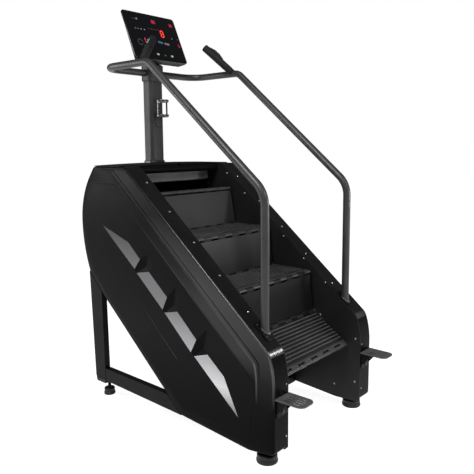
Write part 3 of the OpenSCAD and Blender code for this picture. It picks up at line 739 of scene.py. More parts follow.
def shell_shapes():
    """The shapes of a side box, one for each finish."""
    shell, band, bead, rim, front, bend_highlight, folds = (Shape() for i in range(7))
    rings = [box_ring(*step) for step in SHELL_SECTION]
    wide_start = corner_start((TOP_FRONT_Y, TOP_Z))[1]
    wide_end = len(rings[0]) - 1
    bend_start, bend_end = corner_start((CREASE_Y, CREASE_Z))
    low = corner_start((FRONT_Y, FRONT_LOW_Z))[1]
    for shape, part, first, last in (
            (shell, rings[1:], wide_end, wide_start), (bead, rings[1:6], wide_start, wide_end),
            (band, rings[5:14], wide_start, wide_end), (bead, rings[13:], wide_start, wide_end),
            (bend_highlight, rings[:2], bend_start, bend_end), (front, rings[:2], bend_end, low),
            (rim, rings[:2], low, bend_start)):
        shape.loft(run(part, first, last), closed=False, capped=False)
    outer = [(y, z) for x, y, z in rings[-1]]
    shell.add([(FACE_X, *p) for p in outer + FIELD], fill([outer, FIELD]))
    inner = inset(FIELD, [1.2 if signed_area(FIELD) > 0 else -1.2] * len(FIELD))
    shell.loft([[(FACE_X, *p) for p in FIELD], [(FIELD_X, *p) for p in inner]],
               capped=False)
    holes = [hole for hole, deep in facets()]
    shell.add([(FIELD_X, *p) for p in inner + sum(holes, [])], fill([inner] + holes))
    for hole, deep in facets():
        n = len(hole)
        folds.add([(FIELD_X, *p) for p in hole] + [(FIELD_X - FACET_DEPTH, *deep)],
                  [(n, i, (i + 1) % n) for i in range(n)])
    return shell, band, bead, rim, front, bend_highlight, folds


def inlay_shape():
    shape = Shape()
    for outline in INLAYS:
        loop = outline if signed_area(outline) > 0 else list(reversed(outline))
        small = inset(loop, [0.9] * len(loop))
        shape.loft([[(FIELD_X - 1.0, *p) for p in loop], [(INLAY_X - 0.5, *p) for p in loop],
                    [(INLAY_X, *p) for p in small]])
    return shape


def make_side_boxes():
    shell, band, bead, rim, front, bend_highlight, folds = shell_shapes()
    twins(band, "box_band", BAND_PAINTED_SHEEN, smooth=25.0)
    twins(bead, "box_bead", BEAD_PAINTED_HIGHLIGHT, smooth=40.0)
    twins(front, "box_front", FRONT_PAINTED_SHADE, smooth=25.0)
    twins(bend_highlight, "box_bend", BEND_PAINTED_HIGHLIGHT, smooth=40.0)
    twins(folds, "box_folds", FOLD_PAINTED_SHADE, smooth=5.0)
    twins(shell, "box_shell", SHELL, smooth=25.0, node="side_shell_")
    twins(rim, "box_rim", FLANGE, smooth=25.0, node="stringer_cap_")
    twins(inlay_shape(), "box_inlays", INLAY, smooth=20.0, node="side_inlays")
    # Painted highlight: the bead is made in the lighter rail grey
    twins(Shape().loft([[(FIELD_X + x, *p) for p in FIELD_HIGHLIGHT_LINE] for x in (-0.2, 0.3)]),
          "box_highlight_line", RAIL, smooth=5.0)


make_side_boxes()

# --- Flange and wall screws, bolts ---

FLANGE_SCREW_X = 334.0
FLANGE_SCREW_Y = (244, 89, -65, -219, -378)
WALL_SCREW_Y = (293, 163, 32, -100, -228, -359)
WALL_SCREW_SLOPE = 0.817
WALL_SCREW_TOP_Z = 1158.0
# Wall screws off the slanting row: at the top, at the bottom step and beside the front
WALL_SCREWS = [(440, 1095), (-333, 453), (-535, 370), (-535, 150), (-420, 110)]
FRONT_SCREW_X = 314.0
FRONT_SCREW_Z = (345, 120)


def button_head(r=5.5, h=3.4):
    """A dome-headed screw with a hexagonal socket, along +Z from its seat."""
    dome = [(0, r), (0.25 * h, r), (0.6 * h, 0.86 * r), (0.88 * h, 0.62 * r), (h, 0.48 * r)]
    rings = [[(rad * cos(a), rad * sin(a), z) for a in around(24)] for z, rad in dome]
    socket = 0.42 * r

    def hexagon(a):
        """The socket's radius at an angle."""
        return socket / cos((a + pi / 6) % (pi / 3) - pi / 6)

    for z in (h, 0.45 * h):
        rings.append([(hexagon(a) * cos(a), hexagon(a) * sin(a), z) for a in around(24)])
    return Shape().loft(rings)


def hex_bolt(r=7.0, h=5.0):
    """A hexagonal head on its washer."""
    shape = Shape().turned((0, 0, 0), [(0, r * 1.25), (1.2, r * 1.25), (1.2, r)], 24)
    return shape.turned((0, 0, 1.0), [(0, r * 0.9), (0, r), (h - 1.6, r), (h - 1.0, r * 0.88)],
                        6)


def seat(target, shape, at, turn):
    """Adds a shape to another, turned and moved to its seat."""
    shape.placed(Matrix.Translation(Vector(at)) @ turn)
    target.add(shape.points, shape.faces)


def make_screws():
    on_slope = Matrix.Rotation(PANEL_ANGLE, 4, "X")
    inward = Matrix.Rotation(-pi / 2, 4, "Y")
    forward = Matrix.Rotation(pi / 2, 4, "X")
    bright = Shape()
    dark = Shape()
    for y in FLANGE_SCREW_Y:
        seat(bright, button_head(4.8, 2.8), (FLANGE_SCREW_X, y, incline_z(y)), on_slope)
    row = [(y, WALL_SCREW_TOP_Z - (WALL_SCREW_Y[0] - y) * WALL_SCREW_SLOPE)
           for y in WALL_SCREW_Y]
    for y, z in row + WALL_SCREWS:
        seat(bright, button_head(), (WALL_X, y, z), inward)
    for z in FRONT_SCREW_Z:
        seat(bright, button_head(4.5, 2.6), (FRONT_SCREW_X, FRONT_Y, z), forward)
    seat(dark, hex_bolt(8, 6), (PEG_X, FRONT_Y - PEG_SHEET, PEG_BOLT_Z), forward)
    for along in (-33, 33):
        y = RAIL_Y + along * cos(PANEL_ANGLE)
        at = Vector((RAIL_X + 22, y, incline_z(y)))
        at += Vector((0, -sin(PANEL_ANGLE), cos(PANEL_ANGLE))) * RAIL_FLANGE_T
        seat(dark, hex_bolt(6, 5), at, on_slope)
    twins(dark, "bolts", BLACK_BOLT, smooth=30.0)
    twins(bright, "screws", ZINC, smooth=30.0, node="screws")


make_screws()

# --- Legs and base rails ---

LEG_X0 = 366.0
LEG_X1 = SKIN_X + 3.0
LEG_FRONT_Y = 541.0
LEG = [(548, 571), (LEG_FRONT_Y, 75), (614, 75), (619, 78), (627, 106), (645, 619), (648, 668)]
BASE_RAIL = [(-30.7, 73.5), (LEG_FRONT_Y - 0.3, 90), (LEG_FRONT_Y - 0.3, 158), (67, 151)]
LEG_CAP = [(LEG_FRONT_Y + 3, 74.6), (611, 74.6), (621.5, 84), (616, 92), (LEG_FRONT_Y + 3, 92)]


def make_leg_frames():
    """Rear legs and the rails that tie them to the boxes, with a block for each rear foot."""
    block = [(LEG_FRONT_Y + 1, 76), (600, 76), (600, 105), (LEG_FRONT_Y + 1, 105)]
    for outline, x0, x1, name, finish, node, width, segments in (
            (LEG, LEG_X0, LEG_X1, "leg", FRAME_BLACK, "rear_legs", 4, 4),
            (block, 338, LEG_X0 + 1, "foot_block", FRAME_BLACK, None, 1.5, 2),
            (BASE_RAIL, LEG_X0, LEG_X1, "base_rail", FRAME_BLACK, "base_rails", 4, 4),
            (LEG_CAP, LEG_X0 - 1.4, LEG_X1 + 1.4, "leg_cap", FOOT, None, 1.5, 2)):
        for piece in twins(Shape().prism(outline, x0, x1), name, finish, node=node):
            bevel(piece, width, segments)


make_leg_frames()

# --- Feet ---

PAD_TOP = 36.0
NUT_TOP = 42.0
THREAD_PITCH = 2.0


def make_foot(name, x, y, r, stud_top):
    """A levelling foot at the right: a moulded puck, a jam nut and a threaded stud."""
    pad = Shape().turned((x, y, 0), [
        (0.0, r - 4), (0.7, r - 1.6), (2.4, r - 0.3), (4.0, r), (11, r), (12.6, r - 0.5),
        (14.0, r - 2.0), (15.0, r - 2.6), (20.0, r - 2.6), (20.8, r - 3.2), (21.6, r - 2.6),
        (32.0, r - 2.6), (34.4, r - 3.6), (35.6, r - 5.6), (PAD_TOP, r - 9)], 72)
    nut = Shape().turned((x, y, PAD_TOP), [(0, 13.5), (0.8, 15), (5.2, 15), (6, 13.5)], 6)
    turns = math.ceil((stud_top - NUT_TOP - 1) / THREAD_PITCH)
    thread = [(i * THREAD_PITCH + z, thick) for i in range(turns)
              for z, thick in ((0, 7.2), (0.9, 8.0))]
    nut.turned((x, y, NUT_TOP - 0.1), thread, 24)
    for tag in "lr":
        body = name + "_" + tag
        for shape in (pad, nut):
            shape.mirrored()
        pad.make(body + "_pad", FOOT, body, 40.0, body)
        nut.make(body + "_stud", BLACK_BOLT, body, 25.0)


make_foot("front_foot", 350, -491, 46, 112)
make_foot("rear_foot", 357, 568, 30, 104)

# --- Entry pegs ---

PEG_W = 96.0
PEG_T = 5.0
PEG_TIP_Y = -REAR_Y
PEG_BACK_Y = FRONT_Y - 0.3
PEG_Z = 301.0
PEG_CORNER_R = 30.0
PEG_LOW_Z = 222.0
SLOT_R = 4.5
SLOT_PITCH = 18.3
# How far each slot stays from the tip
SLOT_ENDS = (24, 18, 18, 24)
GUSSET_X = 38.0


def make_pegs():
    """A slotted plate on a bent bracket, with a gusset at each side."""
    half = PEG_W / 2
    back, tip = [[(x, y) for x in (-half, half)] for y in (PEG_BACK_Y, PEG_TIP_Y)]
    outline = [back[1], back[0]]
    outline += fillet(back[0], tip[0], tip[1], PEG_CORNER_R, 8)
    outline += fillet(tip[0], tip[1], back[1], PEG_CORNER_R, 8)
    slots = []
    for i, end in enumerate(SLOT_ENDS):
        x = (i - 1.5) * SLOT_PITCH - 0.05
        slots.append(arc((x, PEG_TIP_Y + end + SLOT_R), SLOT_R, 180, 360, 6)
                     + arc((x, PEG_BACK_Y - 24 - SLOT_R), SLOT_R, 0, 180, 6))
    plate = Shape().prism(outline, 0, PEG_T, slots).laid()
    plate.placed(Matrix.Translation(Vector((PEG_X, 0, PEG_Z))))
    bracket = Shape()
    front_y = PEG_BACK_Y - PEG_SHEET
    bracket.prism([(PEG_BACK_Y, PEG_LOW_Z), (PEG_BACK_Y, PEG_Z), (front_y, PEG_Z),
                   (front_y, PEG_LOW_Z)], PEG_X - GUSSET_X, PEG_X + GUSSET_X)
    for x in (PEG_X - GUSSET_X, PEG_X + GUSSET_X - PEG_SHEET):
        bracket.prism([(front_y + 0.1, PEG_LOW_Z + 16), (PEG_BACK_Y - 60, PEG_Z),
                       (front_y + 0.1, PEG_Z)], x, x + PEG_SHEET)
    for piece in twins(plate, "peg_plate", PEG, node="foot_pegs"):
        bevel(piece, 1.2, 3)
    for piece in twins(bracket, "peg_bracket", FRAME_BLACK):
        bevel(piece, 1.0)


make_pegs()

# --- Top cover, valance ---

LIP_Y = 377.0
LIP_R = 20.0
ROOF_LOW = 0.3
ROOF_HIGH = 3.8
ROOF_CROWN = 6.0
ROOF_STRIPS = 16


def make_top():
    """The roof: a rolled lip across the front, and a sheet over both boxes."""
    half = WALL_X - 0.5
    steps = 8
    back_y = LIP_Y + 22
    under_z = TOP_Z - 9
    section = arc((LIP_Y, TOP_Z - LIP_R), LIP_R, 90, 270, 18)
    section += [(back_y, TOP_Z - 2 * LIP_R), (back_y, under_z), (TOP_REAR_Y, under_z),
                (TOP_REAR_Y, TOP_Z)]
    centre = (LIP_Y + 4, TOP_Z - LIP_R)
    rings = []
    for i in range(steps + 1):
        a = pi / 2 * i / steps
        shrink = 1 - 0.6 * (1 - sin(a))
        x = -half + LIP_R * (1 - cos(a))
        ring = []
        for y, z in section:
            k = shrink if y < back_y - 1 else 1
            ring.append((x, centre[0] + (y - centre[0]) * k, centre[1] + (z - centre[1]) * k))
        rings.append(ring)
    rings += [[(-p[0], p[1], p[2]) for p in ring] for ring in reversed(rings)]
    Shape().loft(rings).make("top_lip", SHELL, smooth=40.0, node="top_cover")
    roof = Shape()
    x1 = SKIN_X - 4
    y0, y1 = LIP_Y - 11, TOP_REAR_Y
    for sign in (-1, 1):
        strips = []
        for i in range(ROOF_STRIPS + 1):
            x = x1 * i / ROOF_STRIPS
            crown = ROOF_CROWN * (1 - (x / x1) ** 2)
            low = TOP_Z + ROOF_LOW
            high = TOP_Z + ROOF_HIGH + crown
            front = y0 + 8 * max(0, (x / x1 - 0.97) / 0.03) ** 2
            strips.append([(sign * x, y, z) for y, z in (
                (front, low), (front, high - 1.6), (front + 2, high), (y1 - 2, high),
                (y1, high - 1.6), (y1, low))][::-sign])
        roof.loft(strips)
    roof.make("top_roof", SHELL, smooth=20.0)


make_top()


def make_valance():
    """A bent plate with fine beads along it."""
    steps = 22
    face = [(452, 1122), (444, 1128)]
    face += [(444 - (0.9 if i % 2 else 0.0), 1130 + 36 * i / steps) for i in range(steps + 1)]
    face += [(444, 1168), (470, 1180)]
    back = [(y + 2.0, z) for y, z in reversed(face)]
    Shape().prism(face + back, -WALL_X + 0.5, WALL_X - 0.5).make(
        "valance_plate", VALANCE, smooth=0, node="valance")


make_valance()

# --- Column ---

COLLAR_Z = 1660.0
COLUMN_Z = 1180.0
COLUMN_TOP_Z = 1745.0


def upright(name, finish, grow, r, levels, node=None):
    """The column's section, larger by grow, as (height, inset) levels."""
    rings = []
    for z, step in levels:
        ring = rounded_rect(COLUMN_W + grow - 2 * step, COLUMN_D + grow - 2 * step,
                            max(r - step, 2), 10)
        rings.append([(x, COLUMN_Y + y, z) for x, y in ring])
    Shape().loft(rings).make(name, finish, smooth=30.0, node=node)


def make_column():
    upright("column_tube", COLUMN, 0, 18,
            [(COLUMN_Z, 1), (COLUMN_Z + 1, 0), (COLUMN_TOP_Z - 1, 0), (COLUMN_TOP_Z, 1)],
            "column")
    upright("column_collar", BOOT, 12, 23,
            [(TOP_Z + 4.3, 0), (TOP_Z + 17, 0.4), (TOP_Z + 19.6, 1.4), (TOP_Z + 21, 3.4),
             (TOP_Z + 21.3, 5.4)], "column_boot")
    upright("head_sleeve", COLUMN, 14, 24,
            [(COLLAR_Z, 6.5), (COLLAR_Z + 0.4, 2.5), (COLLAR_Z + 3, 0.6),
             (COLLAR_Z + 6, 0), (COLUMN_TOP_Z - 2, 0), (COLUMN_TOP_Z, 2)], "head_collar")
    upright("head_cap", CONSOLE, 0, 18, [(COLUMN_TOP_Z, 0), (COLUMN_TOP_Z + 3.5, 0),
                                         (COLUMN_TOP_Z + 5, 1.5)])


make_column()

# --- Handrails ---


def sweep(path, r, steps=28):
    """A round tube along a path of points."""
    points = [Vector(p) for p in path]
    rings = []
    before = None
    side = None
    for i, p in enumerate(points):
        a = points[max(i - 1, 0)]
        b = points[min(i + 1, len(points) - 1)]
        along = (b - a).normalized()
        if side is None:
            side = along.orthogonal().normalized()
        else:
            side = (before.rotation_difference(along) @ side).normalized()
        other = along.cross(side)
        rings.append([p + (side * cos(t) + other * sin(t)) * r for t in around(steps)])
        before = along
    return Shape().loft(rings)


RAIL_LOW_R = 120.0
RAIL_HIGH_R = 64.0
RAIL_CORNER_R = 95.0
RAIL_LOW_BEND = (RAIL_Y, 1123.0)
RAIL_HIGH_BEND = (225.0, RAIL_TOP_Z)
FLANGE_SIZE = (54.0, 96.0)


def make_handrails():
    foot = (RAIL_Y, incline_z(RAIL_Y) + 3)
    corner_start = (CROSSBAR_Y - RAIL_CORNER_R, RAIL_TOP_Z)
    flat = [foot]
    flat += fillet(foot, RAIL_LOW_BEND, RAIL_HIGH_BEND, RAIL_LOW_R, 14)
    flat += fillet(RAIL_LOW_BEND, RAIL_HIGH_BEND, corner_start, RAIL_HIGH_R, 14)
    path = [(RAIL_X, *p) for p in flat]
    path += [(*p, RAIL_TOP_Z) for p in
             arc((RAIL_X - RAIL_CORNER_R, CROSSBAR_Y - RAIL_CORNER_R), RAIL_CORNER_R, 0, 90, 14)]
    tube = sweep(path, RAIL_R)
    u = Vector((0, cos(PANEL_ANGLE), sin(PANEL_ANGLE)))
    v = Vector((0, -sin(PANEL_ANGLE), cos(PANEL_ANGLE)))
    base = Vector((RAIL_X, RAIL_Y, incline_z(RAIL_Y)))
    wide, long = FLANGE_SIZE
    flange = Shape().loft([
        [base + Vector((7 + x * (1 - 2 * step / wide), 0, 0)) + u * y * (1 - 2 * step / long)
         + v * z for x, y in rounded_rect(wide, long, 14, 8)]
        for z, step in ((0.3, 0), (5.6, 0), (6.7, 0.6), (RAIL_FLANGE_T, 1.6))])
    weld = Shape().loft([
        [base + v * z + Vector((cos(a) * r, 0, 0)) + u * sin(a) * r / cos(PANEL_ANGLE)
         for a in around(32)]
        for z, r in ((6.9, 21.5), (8.6, 21.0), (10.2, 19.4), (11.2, RAIL_R))])
    twins(tube, "rail_tube", RAIL, smooth=40.0, node="handrail_")
    twins(flange, "rail_flange", FRAME_BLACK, smooth=30.0)
    twins(weld, "rail_weld", RAIL, smooth=50.0)
    end = RAIL_X - RAIL_CORNER_R - 0.3
    crossbar = sweep([(x, CROSSBAR_Y, RAIL_TOP_Z) for x in (-end, 0, end)], RAIL_R)
    crossbar.make("crossbar_tube", RAIL, smooth=40.0, node="crossbar")


make_handrails()

# --- Grips ---

GRIP_START = Vector((RAIL_X, 264, RAIL_TOP_Z + 4))
GRIP_END = Vector((182, 345, 1839))
GRIP_DIR = GRIP_END - GRIP_START
GRIP_LEN = GRIP_DIR.length
GRIP_R = 19.5
POD_Z = 0.50 * GRIP_LEN
# Sections of the pod as (along the grip, height of its face, width)
POD_SECTIONS = ((-26, 17.5, 10), (-16, 19.8, 20), (-6, 22.4, 25), (4, 24.6, 27), (12, 25.4, 28),
                (54, 25.4, 28), (62, 24.6, 27), (72, 22.4, 25), (82, 19.8, 20), (92, 17.5, 10))
BUTTON_SPANS = ((13.4, 31.6), (34.4, 52.6))
BEZEL_MID = 33.0
GROOVES_START = 30.0
GROOVES_END = 14.0
GROOVE_PITCH = 6.0
GRIP_PLACE = (Matrix.Translation(GRIP_START)
              @ Matrix.Rotation(atan2(GRIP_DIR.y, GRIP_DIR.x), 4, "Z")
              @ Matrix.Rotation(acos(GRIP_DIR.z / GRIP_LEN), 4, "Y"))


def make_grips():
    """A rubber sleeve with a pod that carries the speed button."""
    r = GRIP_R
    profile = [(2, r - 1.5), (20, r - 1.5), (22, r - 0.4), (24, r)]
    grooves = math.ceil((POD_Z - GROOVES_END - GROOVES_START) / GROOVE_PITCH)
    for i in range(grooves):
        z = GROOVES_START + i * GROOVE_PITCH
        profile += [(z, r), (z + 0.6, r - 0.5), (z + 1.6, r - 0.5), (z + 2.2, r)]
    profile += [(GRIP_LEN - back, r - less)
                for back, less in ((9, 0), (5, 0.8), (2, 2.6), (0.6, 5.0), (0, 8.5))]
    sleeve = Shape().turned((0, 0, 0), profile, 40)
    pod = Shape().loft([
        [(7 - rise - x, y, POD_Z + along) for x, y in rounded_rect(14, width, 5, 6)]
        for along, rise, width in POD_SECTIONS])
    caps = Shape()
    for low, high in BUTTON_SPANS:
        mid = POD_Z + (low + high) / 2
        ring = rounded_rect(high - low, 12.0, 3.0, 5)
        caps.loft([[(x, p[1] * k, mid + p[0] * k) for p in ring]
                   for x, k in ((-24.5, 1), (-28.6, 1), (-29.2, 0.94), (-29.5, 0.84))])
    rings = [[(x, p[1], POD_Z + BEZEL_MID + p[0]) for p in rounded_rect(w, h, corner, 6)]
             for x, w, h, corner in ((-23, 46, 19, 5), (-26.6, 46, 19, 5), (-27.3, 45, 18, 4.5),
                                     (-27.3, 42, 15, 3), (-23, 42, 15, 3))]
    bezel = Shape().loft(rings + [rings[0]], capped=False)
    for shape in (sleeve, pod, caps, bezel):
        shape.placed(GRIP_PLACE)
    twins(sleeve, "grip_sleeve", GRIP, smooth=35.0, node="grip_")
    twins(pod, "grip_pod", GRIP, smooth=60.0)
    twins(bezel, "grip_bezel", CONSOLE, smooth=30.0)
    twins(caps, "button_caps", BUTTON, "speed_button_", 40.0, "speed_button_")


make_grips()

# --- Console ---

CONSOLE_W = 366.0
CONSOLE_H = 278.0
CONSOLE_T = 48.0
CONSOLE_LEAN = radians(24)
CONSOLE_PLACE = (Matrix.Translation(Vector((0, 472, 1763)))
                 @ Matrix.Rotation(pi / 2 - CONSOLE_LEAN, 4, "X"))
# Bottom and top of each lit patch, from the face of the glass
LIT = (-0.3, 0.12)


def console_loft(levels, r=16.0, wedge=0.0):
    """Rounded slabs in the console's own frame: levels of z, inset all round and further inset
    of the sides, y up from the low edge. A wedge thins the back toward the top."""
    rings = []
    for z, step, side in levels:
        ring = rounded_rect(CONSOLE_W - 2 * (step + side), CONSOLE_H - 2 * step,
                            max(r - step, 3), 10)
        rings.append([(p[0], CONSOLE_H / 2 + p[1],
                       z * (1 - wedge * (p[1] / CONSOLE_H + 0.5)) if z < -10 else z)
                      for p in ring])
    return Shape().loft(rings).placed(CONSOLE_PLACE)


def lamp(u, v, w, h, finish, name, turn=0.0, r=None):
    """A lit patch on the screen, w by h, at u across and v up its face."""
    ring = rounded_rect(w, h, r if r else min(w, h) * 0.3, 4)
    c, s = cos(radians(turn)), sin(radians(turn))
    ring = [(u + p[0] * c - p[1] * s, v + p[0] * s + p[1] * c) for p in ring]
    patch = Shape().loft([[(*p, z) for p in ring] for z in LIT])
    patch.placed(CONSOLE_PLACE).make(name, finish, smooth=0)


SEGMENTS = {"a": (0, 1), "b": (1, 0.5), "c": (1, -0.5), "d": (0, -1), "e": (-1, -0.5),
            "f": (-1, 0.5), "g": (0, 0)}
DIGITS = {"0": "abcdef", "1": "bc", "5": "afgcd", "8": "abcdefg"}


def digits(text, u, v, h, finish, name):
    """Seven-segment numerals, h high, centred at u, v."""
    shape = Shape()
    w = 0.5 * h
    bar = 0.16 * h
    pitch = w + 0.32 * h
    for i, digit in enumerate(text):
        middle = u + (i - (len(text) - 1) / 2) * pitch
        for key in DIGITS[digit]:
            across, up = SEGMENTS[key]
            x, y = middle + across * w / 2, v + up * h / 2
            dx, dy = (w * 0.39, bar / 2) if key in "adg" else (bar / 2, h * 0.20)
            shape.loft([[(x - dx, y - dy, z), (x + dx, y - dy, z), (x + dx, y + dy, z),
                         (x - dx, y + dy, z)] for z in LIT])
    shape.placed(CONSOLE_PLACE).make(name, finish, smooth=0)


def make_console():
    back = console_loft([(-CONSOLE_T, 12, 28), (-CONSOLE_T + 0.8, 8, 27),
                         (-CONSOLE_T + 3, 4, 25), (-CONSOLE_T + 7, 1.2, 22),
                         (-24, 0, 10), (-19, 0, 3), (-9, 0, 0), (-8.4, 0, 0)], wedge=0.5)
    back.make("console_shell", CONSOLE, smooth=35.0, node="console_back")
    glass = console_loft([(-8.2, 0.8, 0), (-7.6, 0.2, 0), (-3.0, 0.0, 0), (-1.2, 0.5, 0),
                          (-0.3, 1.8, 0), (0.0, 3.4, 0)])
    glass.make("console_glass", SCREEN, smooth=35.0, node="console_screen")
    rings = []
    for step, z in ((13.0, -0.2), (13.0, 0.14), (14.2, 0.14), (14.2, -0.2)):
        ring = rounded_rect(CONSOLE_W - 2 * step, CONSOLE_H - 2 * step, 8, 8)
        rings.append([(x, CONSOLE_H / 2 + y, z) for x, y in ring])
    border = Shape().loft(rings + [rings[0]], capped=False)
    border.placed(CONSOLE_PLACE).make("screen_border", SCREEN, smooth=0)
    digits("00", 18, 234, 17, RED, "readout_top")
    digits("00", 144, 231, 15, RED, "readout_top_right")
    digits("8", 58, 167, 38, ORANGE, "readout_speed")
    digits("1", -90, 110, 34, RED, "readout_left")
    digits("5", 160, 108, 16, RED, "readout_right")
    lamp(-96, 236, 12, 10, WHITE, "lamp_corner", r=4.9)
    lamp(-118, 234, 22, 3, DIM_RED, "lamp_corner_bar")
    for i, u in enumerate((-124, -107, -86, -63)):
        lamp(u, 176, 9, 6, WHITE if i > 1 else PINK, "lamp_row_%d" % i, r=2.9)
    for i in range(5):
        lamp(-28 + i * 16, 188, 11, 4, DIM_RED, "lamp_scale_%d" % i)
    dial_at = (-120, 96)
    dial = Shape().prism(arc(dial_at, 17, 0, 330, 22) + arc(dial_at, 14.5, 330, 0, 22), *LIT)
    dial.laid().placed(CONSOLE_PLACE).make("lamp_dial", WHITE_DIM, smooth=0)
    lamp(25, 112, 34, 12, BLUE, "lamp_bar_blue", -8)
    lamp(70, 108, 34, 12, PINK, "lamp_bar_pink", -4)
    lamp(122, 147, 7, 7, WHITE, "lamp_dot_0", r=3.4)
    lamp(163, 147, 8, 7, WHITE_DIM, "lamp_dot_1", r=3.4)
    lamp(-21, 36, 17, 11, YELLOW, "lamp_oval_0", r=5.4)
    lamp(79, 35, 17, 11, YELLOW, "lamp_oval_1", r=5.4)
    lamp(30, 34, 12, 8, WHITE_DIM, "lamp_oval_2", r=3.9)


make_console()

# --- Bottle holder ---

RING_R = 34.0
RING_WALL = 3.0
RING_Y = COLUMN_Y - COLUMN_D / 2 - RING_R - RING_WALL - 1


def ring_band(shape, z0, z1, r):
    """Adds a round band with rolled edges."""
    section = [(0.0, z0 + 1), (0.5, z0), (RING_WALL - 0.5, z0), (RING_WALL, z0 + 1),
               (RING_WALL, z1 - 1), (RING_WALL - 0.5, z1), (0.5, z1), (0.0, z1 - 1)]
    rings = [[((r - s) * cos(a), RING_Y + (r - s) * sin(a), z) for s, z in section]
             for a in around(48)]
    shape.loft(rings + [rings[0]], capped=False)


def make_bottle_holder():
    """Two rings on upright straps round a cup's tray, on a bracket with a turned-out toe."""
    bands = Shape()
    for z0, z1 in ((1470, 1482), (1546, 1560)):
        ring_band(bands, z0, z1, RING_R)
    bands.make("holder_rings", GLOSS, smooth=40.0, node="bottle_holder")
    bars = Shape()
    for a in (-90, 180, 0):
        out = Vector((cos(radians(a)), sin(radians(a)), 0))
        across = Vector((-out.y, out.x, 0))
        rings = []
        for z, r in ((1467, RING_R - 6), (1469, RING_R - 1.4), (1480, RING_R - 0.4),
                     (1552, RING_R - 0.4)):
            at = Vector((0, RING_Y, z)) + out * (r - 1.2)
            rings.append([at + across * x + out * y for x, y in rounded_rect(9, 2.6, 1.2, 3)])
        bars.loft(rings)
    bars.make("holder_bars", GLOSS, smooth=40.0)
    Shape().turned((0, RING_Y, 1466), [(0, 25), (0.8, 29), (3, 31.4), (6, 31.4)], 48).make(
        "holder_tray", GLOSS, smooth=40.0)
    bracket = Shape()
    back_y = COLUMN_Y - COLUMN_D / 2 - 0.3
    for y, low, high in ((RING_Y + RING_R - 2, 1464, 1484), (RING_Y + RING_R - 2, 1544, 1560),
                         (back_y - 3.4, 1421.5, 1560), (back_y - 7, 1420, 1423)):
        bracket.box((-15, y, low), (15, back_y, high))
    bevel(bracket.make("holder_bracket", RAIL), 1.0, 2)


make_bottle_holder()

# --- Treads and risers ---

KNUCKLES = 11
HINGE_R = 11.0
HINGE_BORE = 6.9
NOSE_R = 9.0
NOSE_BORE = 4.4
KNUCKLE_PITCH = TREAD_W / KNUCKLES
KNUCKLE_GAP = 1.2
PLATE_START = 16.0
END_T = 2.8
RIBS = 10
# Risers whose far knuckles ride on the riser; the other four pairs ride on the tread
CLOSED = (0, 1, 4, 5)
TREAD_BODY = ("step_0", "run_front", "run_front", "step_3", "step_4", "run_back", "run_back",
              "step_7")
TREAD_NODE = ("tread_0", "tread_1", "tread_2", "tread_3", "tread_4", "treads_back",
              "treads_back", "tread_7")
RISER_BODY = ("run_front", "run_front", "rise_2", "rise_3", "run_back", "run_back", "rise_6",
              "rise_7")
RISER_NODE = ("riser_0", "riser_1", "riser_2", "riser_3", "risers_back", "risers_back",
              "riser_6", "riser_7")


def across(margin):
    """Both ends of a part of a plate that stays a margin inside its sides."""
    return margin - TREAD_W / 2, TREAD_W / 2 - margin


def plate_matrix(start, end):
    """Places a plate with its hinge axis at the origin and its far hinge along +Y."""
    d = end - start
    return (Matrix.Translation(Vector((0, start.x, start.y)))
            @ Matrix.Rotation(atan2(d.y, d.x), 4, "X"))


def knuckles(shape, along, first, reach, top, r):
    """Hinge knuckles at a distance along a plate, joined to it by webs, flush on the top side."""
    if reach > 0:
        outline = [(along + reach, -top), (along + 2, -r)]
        outline += arc((along, 0), r, 270, 90, 18)[1:]
        outline += [(along + reach, min(r, 6.5))]
    else:
        outline = [(along + reach, min(r, 3.9))]
        outline += arc((along, 0), r, 90, -90, 18)
        outline += [(along - 2, -r), (along + reach, -top)]
    hole = arc((along, 0), HINGE_BORE if along == 0 else NOSE_BORE, 0, 345, 23)
    for i in range(first, KNUCKLES, 2):
        x0 = -TREAD_W / 2 + i * KNUCKLE_PITCH + KNUCKLE_GAP / 2
        shape.prism(outline, x0, x0 + KNUCKLE_PITCH - KNUCKLE_GAP, [hole])


RIB_TOP_H = 11.4
PLATE_TOP = 6.0
RIB_PITCH = (TREAD_DEPTH - 52.0) / RIBS


def rib_start(i):
    return PLATE_START + 7 + i * RIB_PITCH


def tread_section():
    """Outline of a tread in (along, up to -Z): ribbed on its walking side."""
    first = PLATE_START - 2.5
    last = TREAD_DEPTH - 24
    outline = [(first, 2.4), (first + 1.6, 4), (last, 4), (last, -PLATE_TOP)]
    for i in reversed(range(RIBS)):
        base = rib_start(i)
        outline += [(base + 9.0, -PLATE_TOP), (base + 8.4, -RIB_TOP_H + 0.6),
                    (base + 7.8, -RIB_TOP_H), (base + 0.8, -RIB_TOP_H),
                    (base + 0.2, -RIB_TOP_H + 0.6), (base - 0.4, -PLATE_TOP)]
    outline += [(first + 4, -PLATE_TOP), (first + 3.2, -8.4), (first + 1.2, -8.4), (first, -7.4)]
    return outline


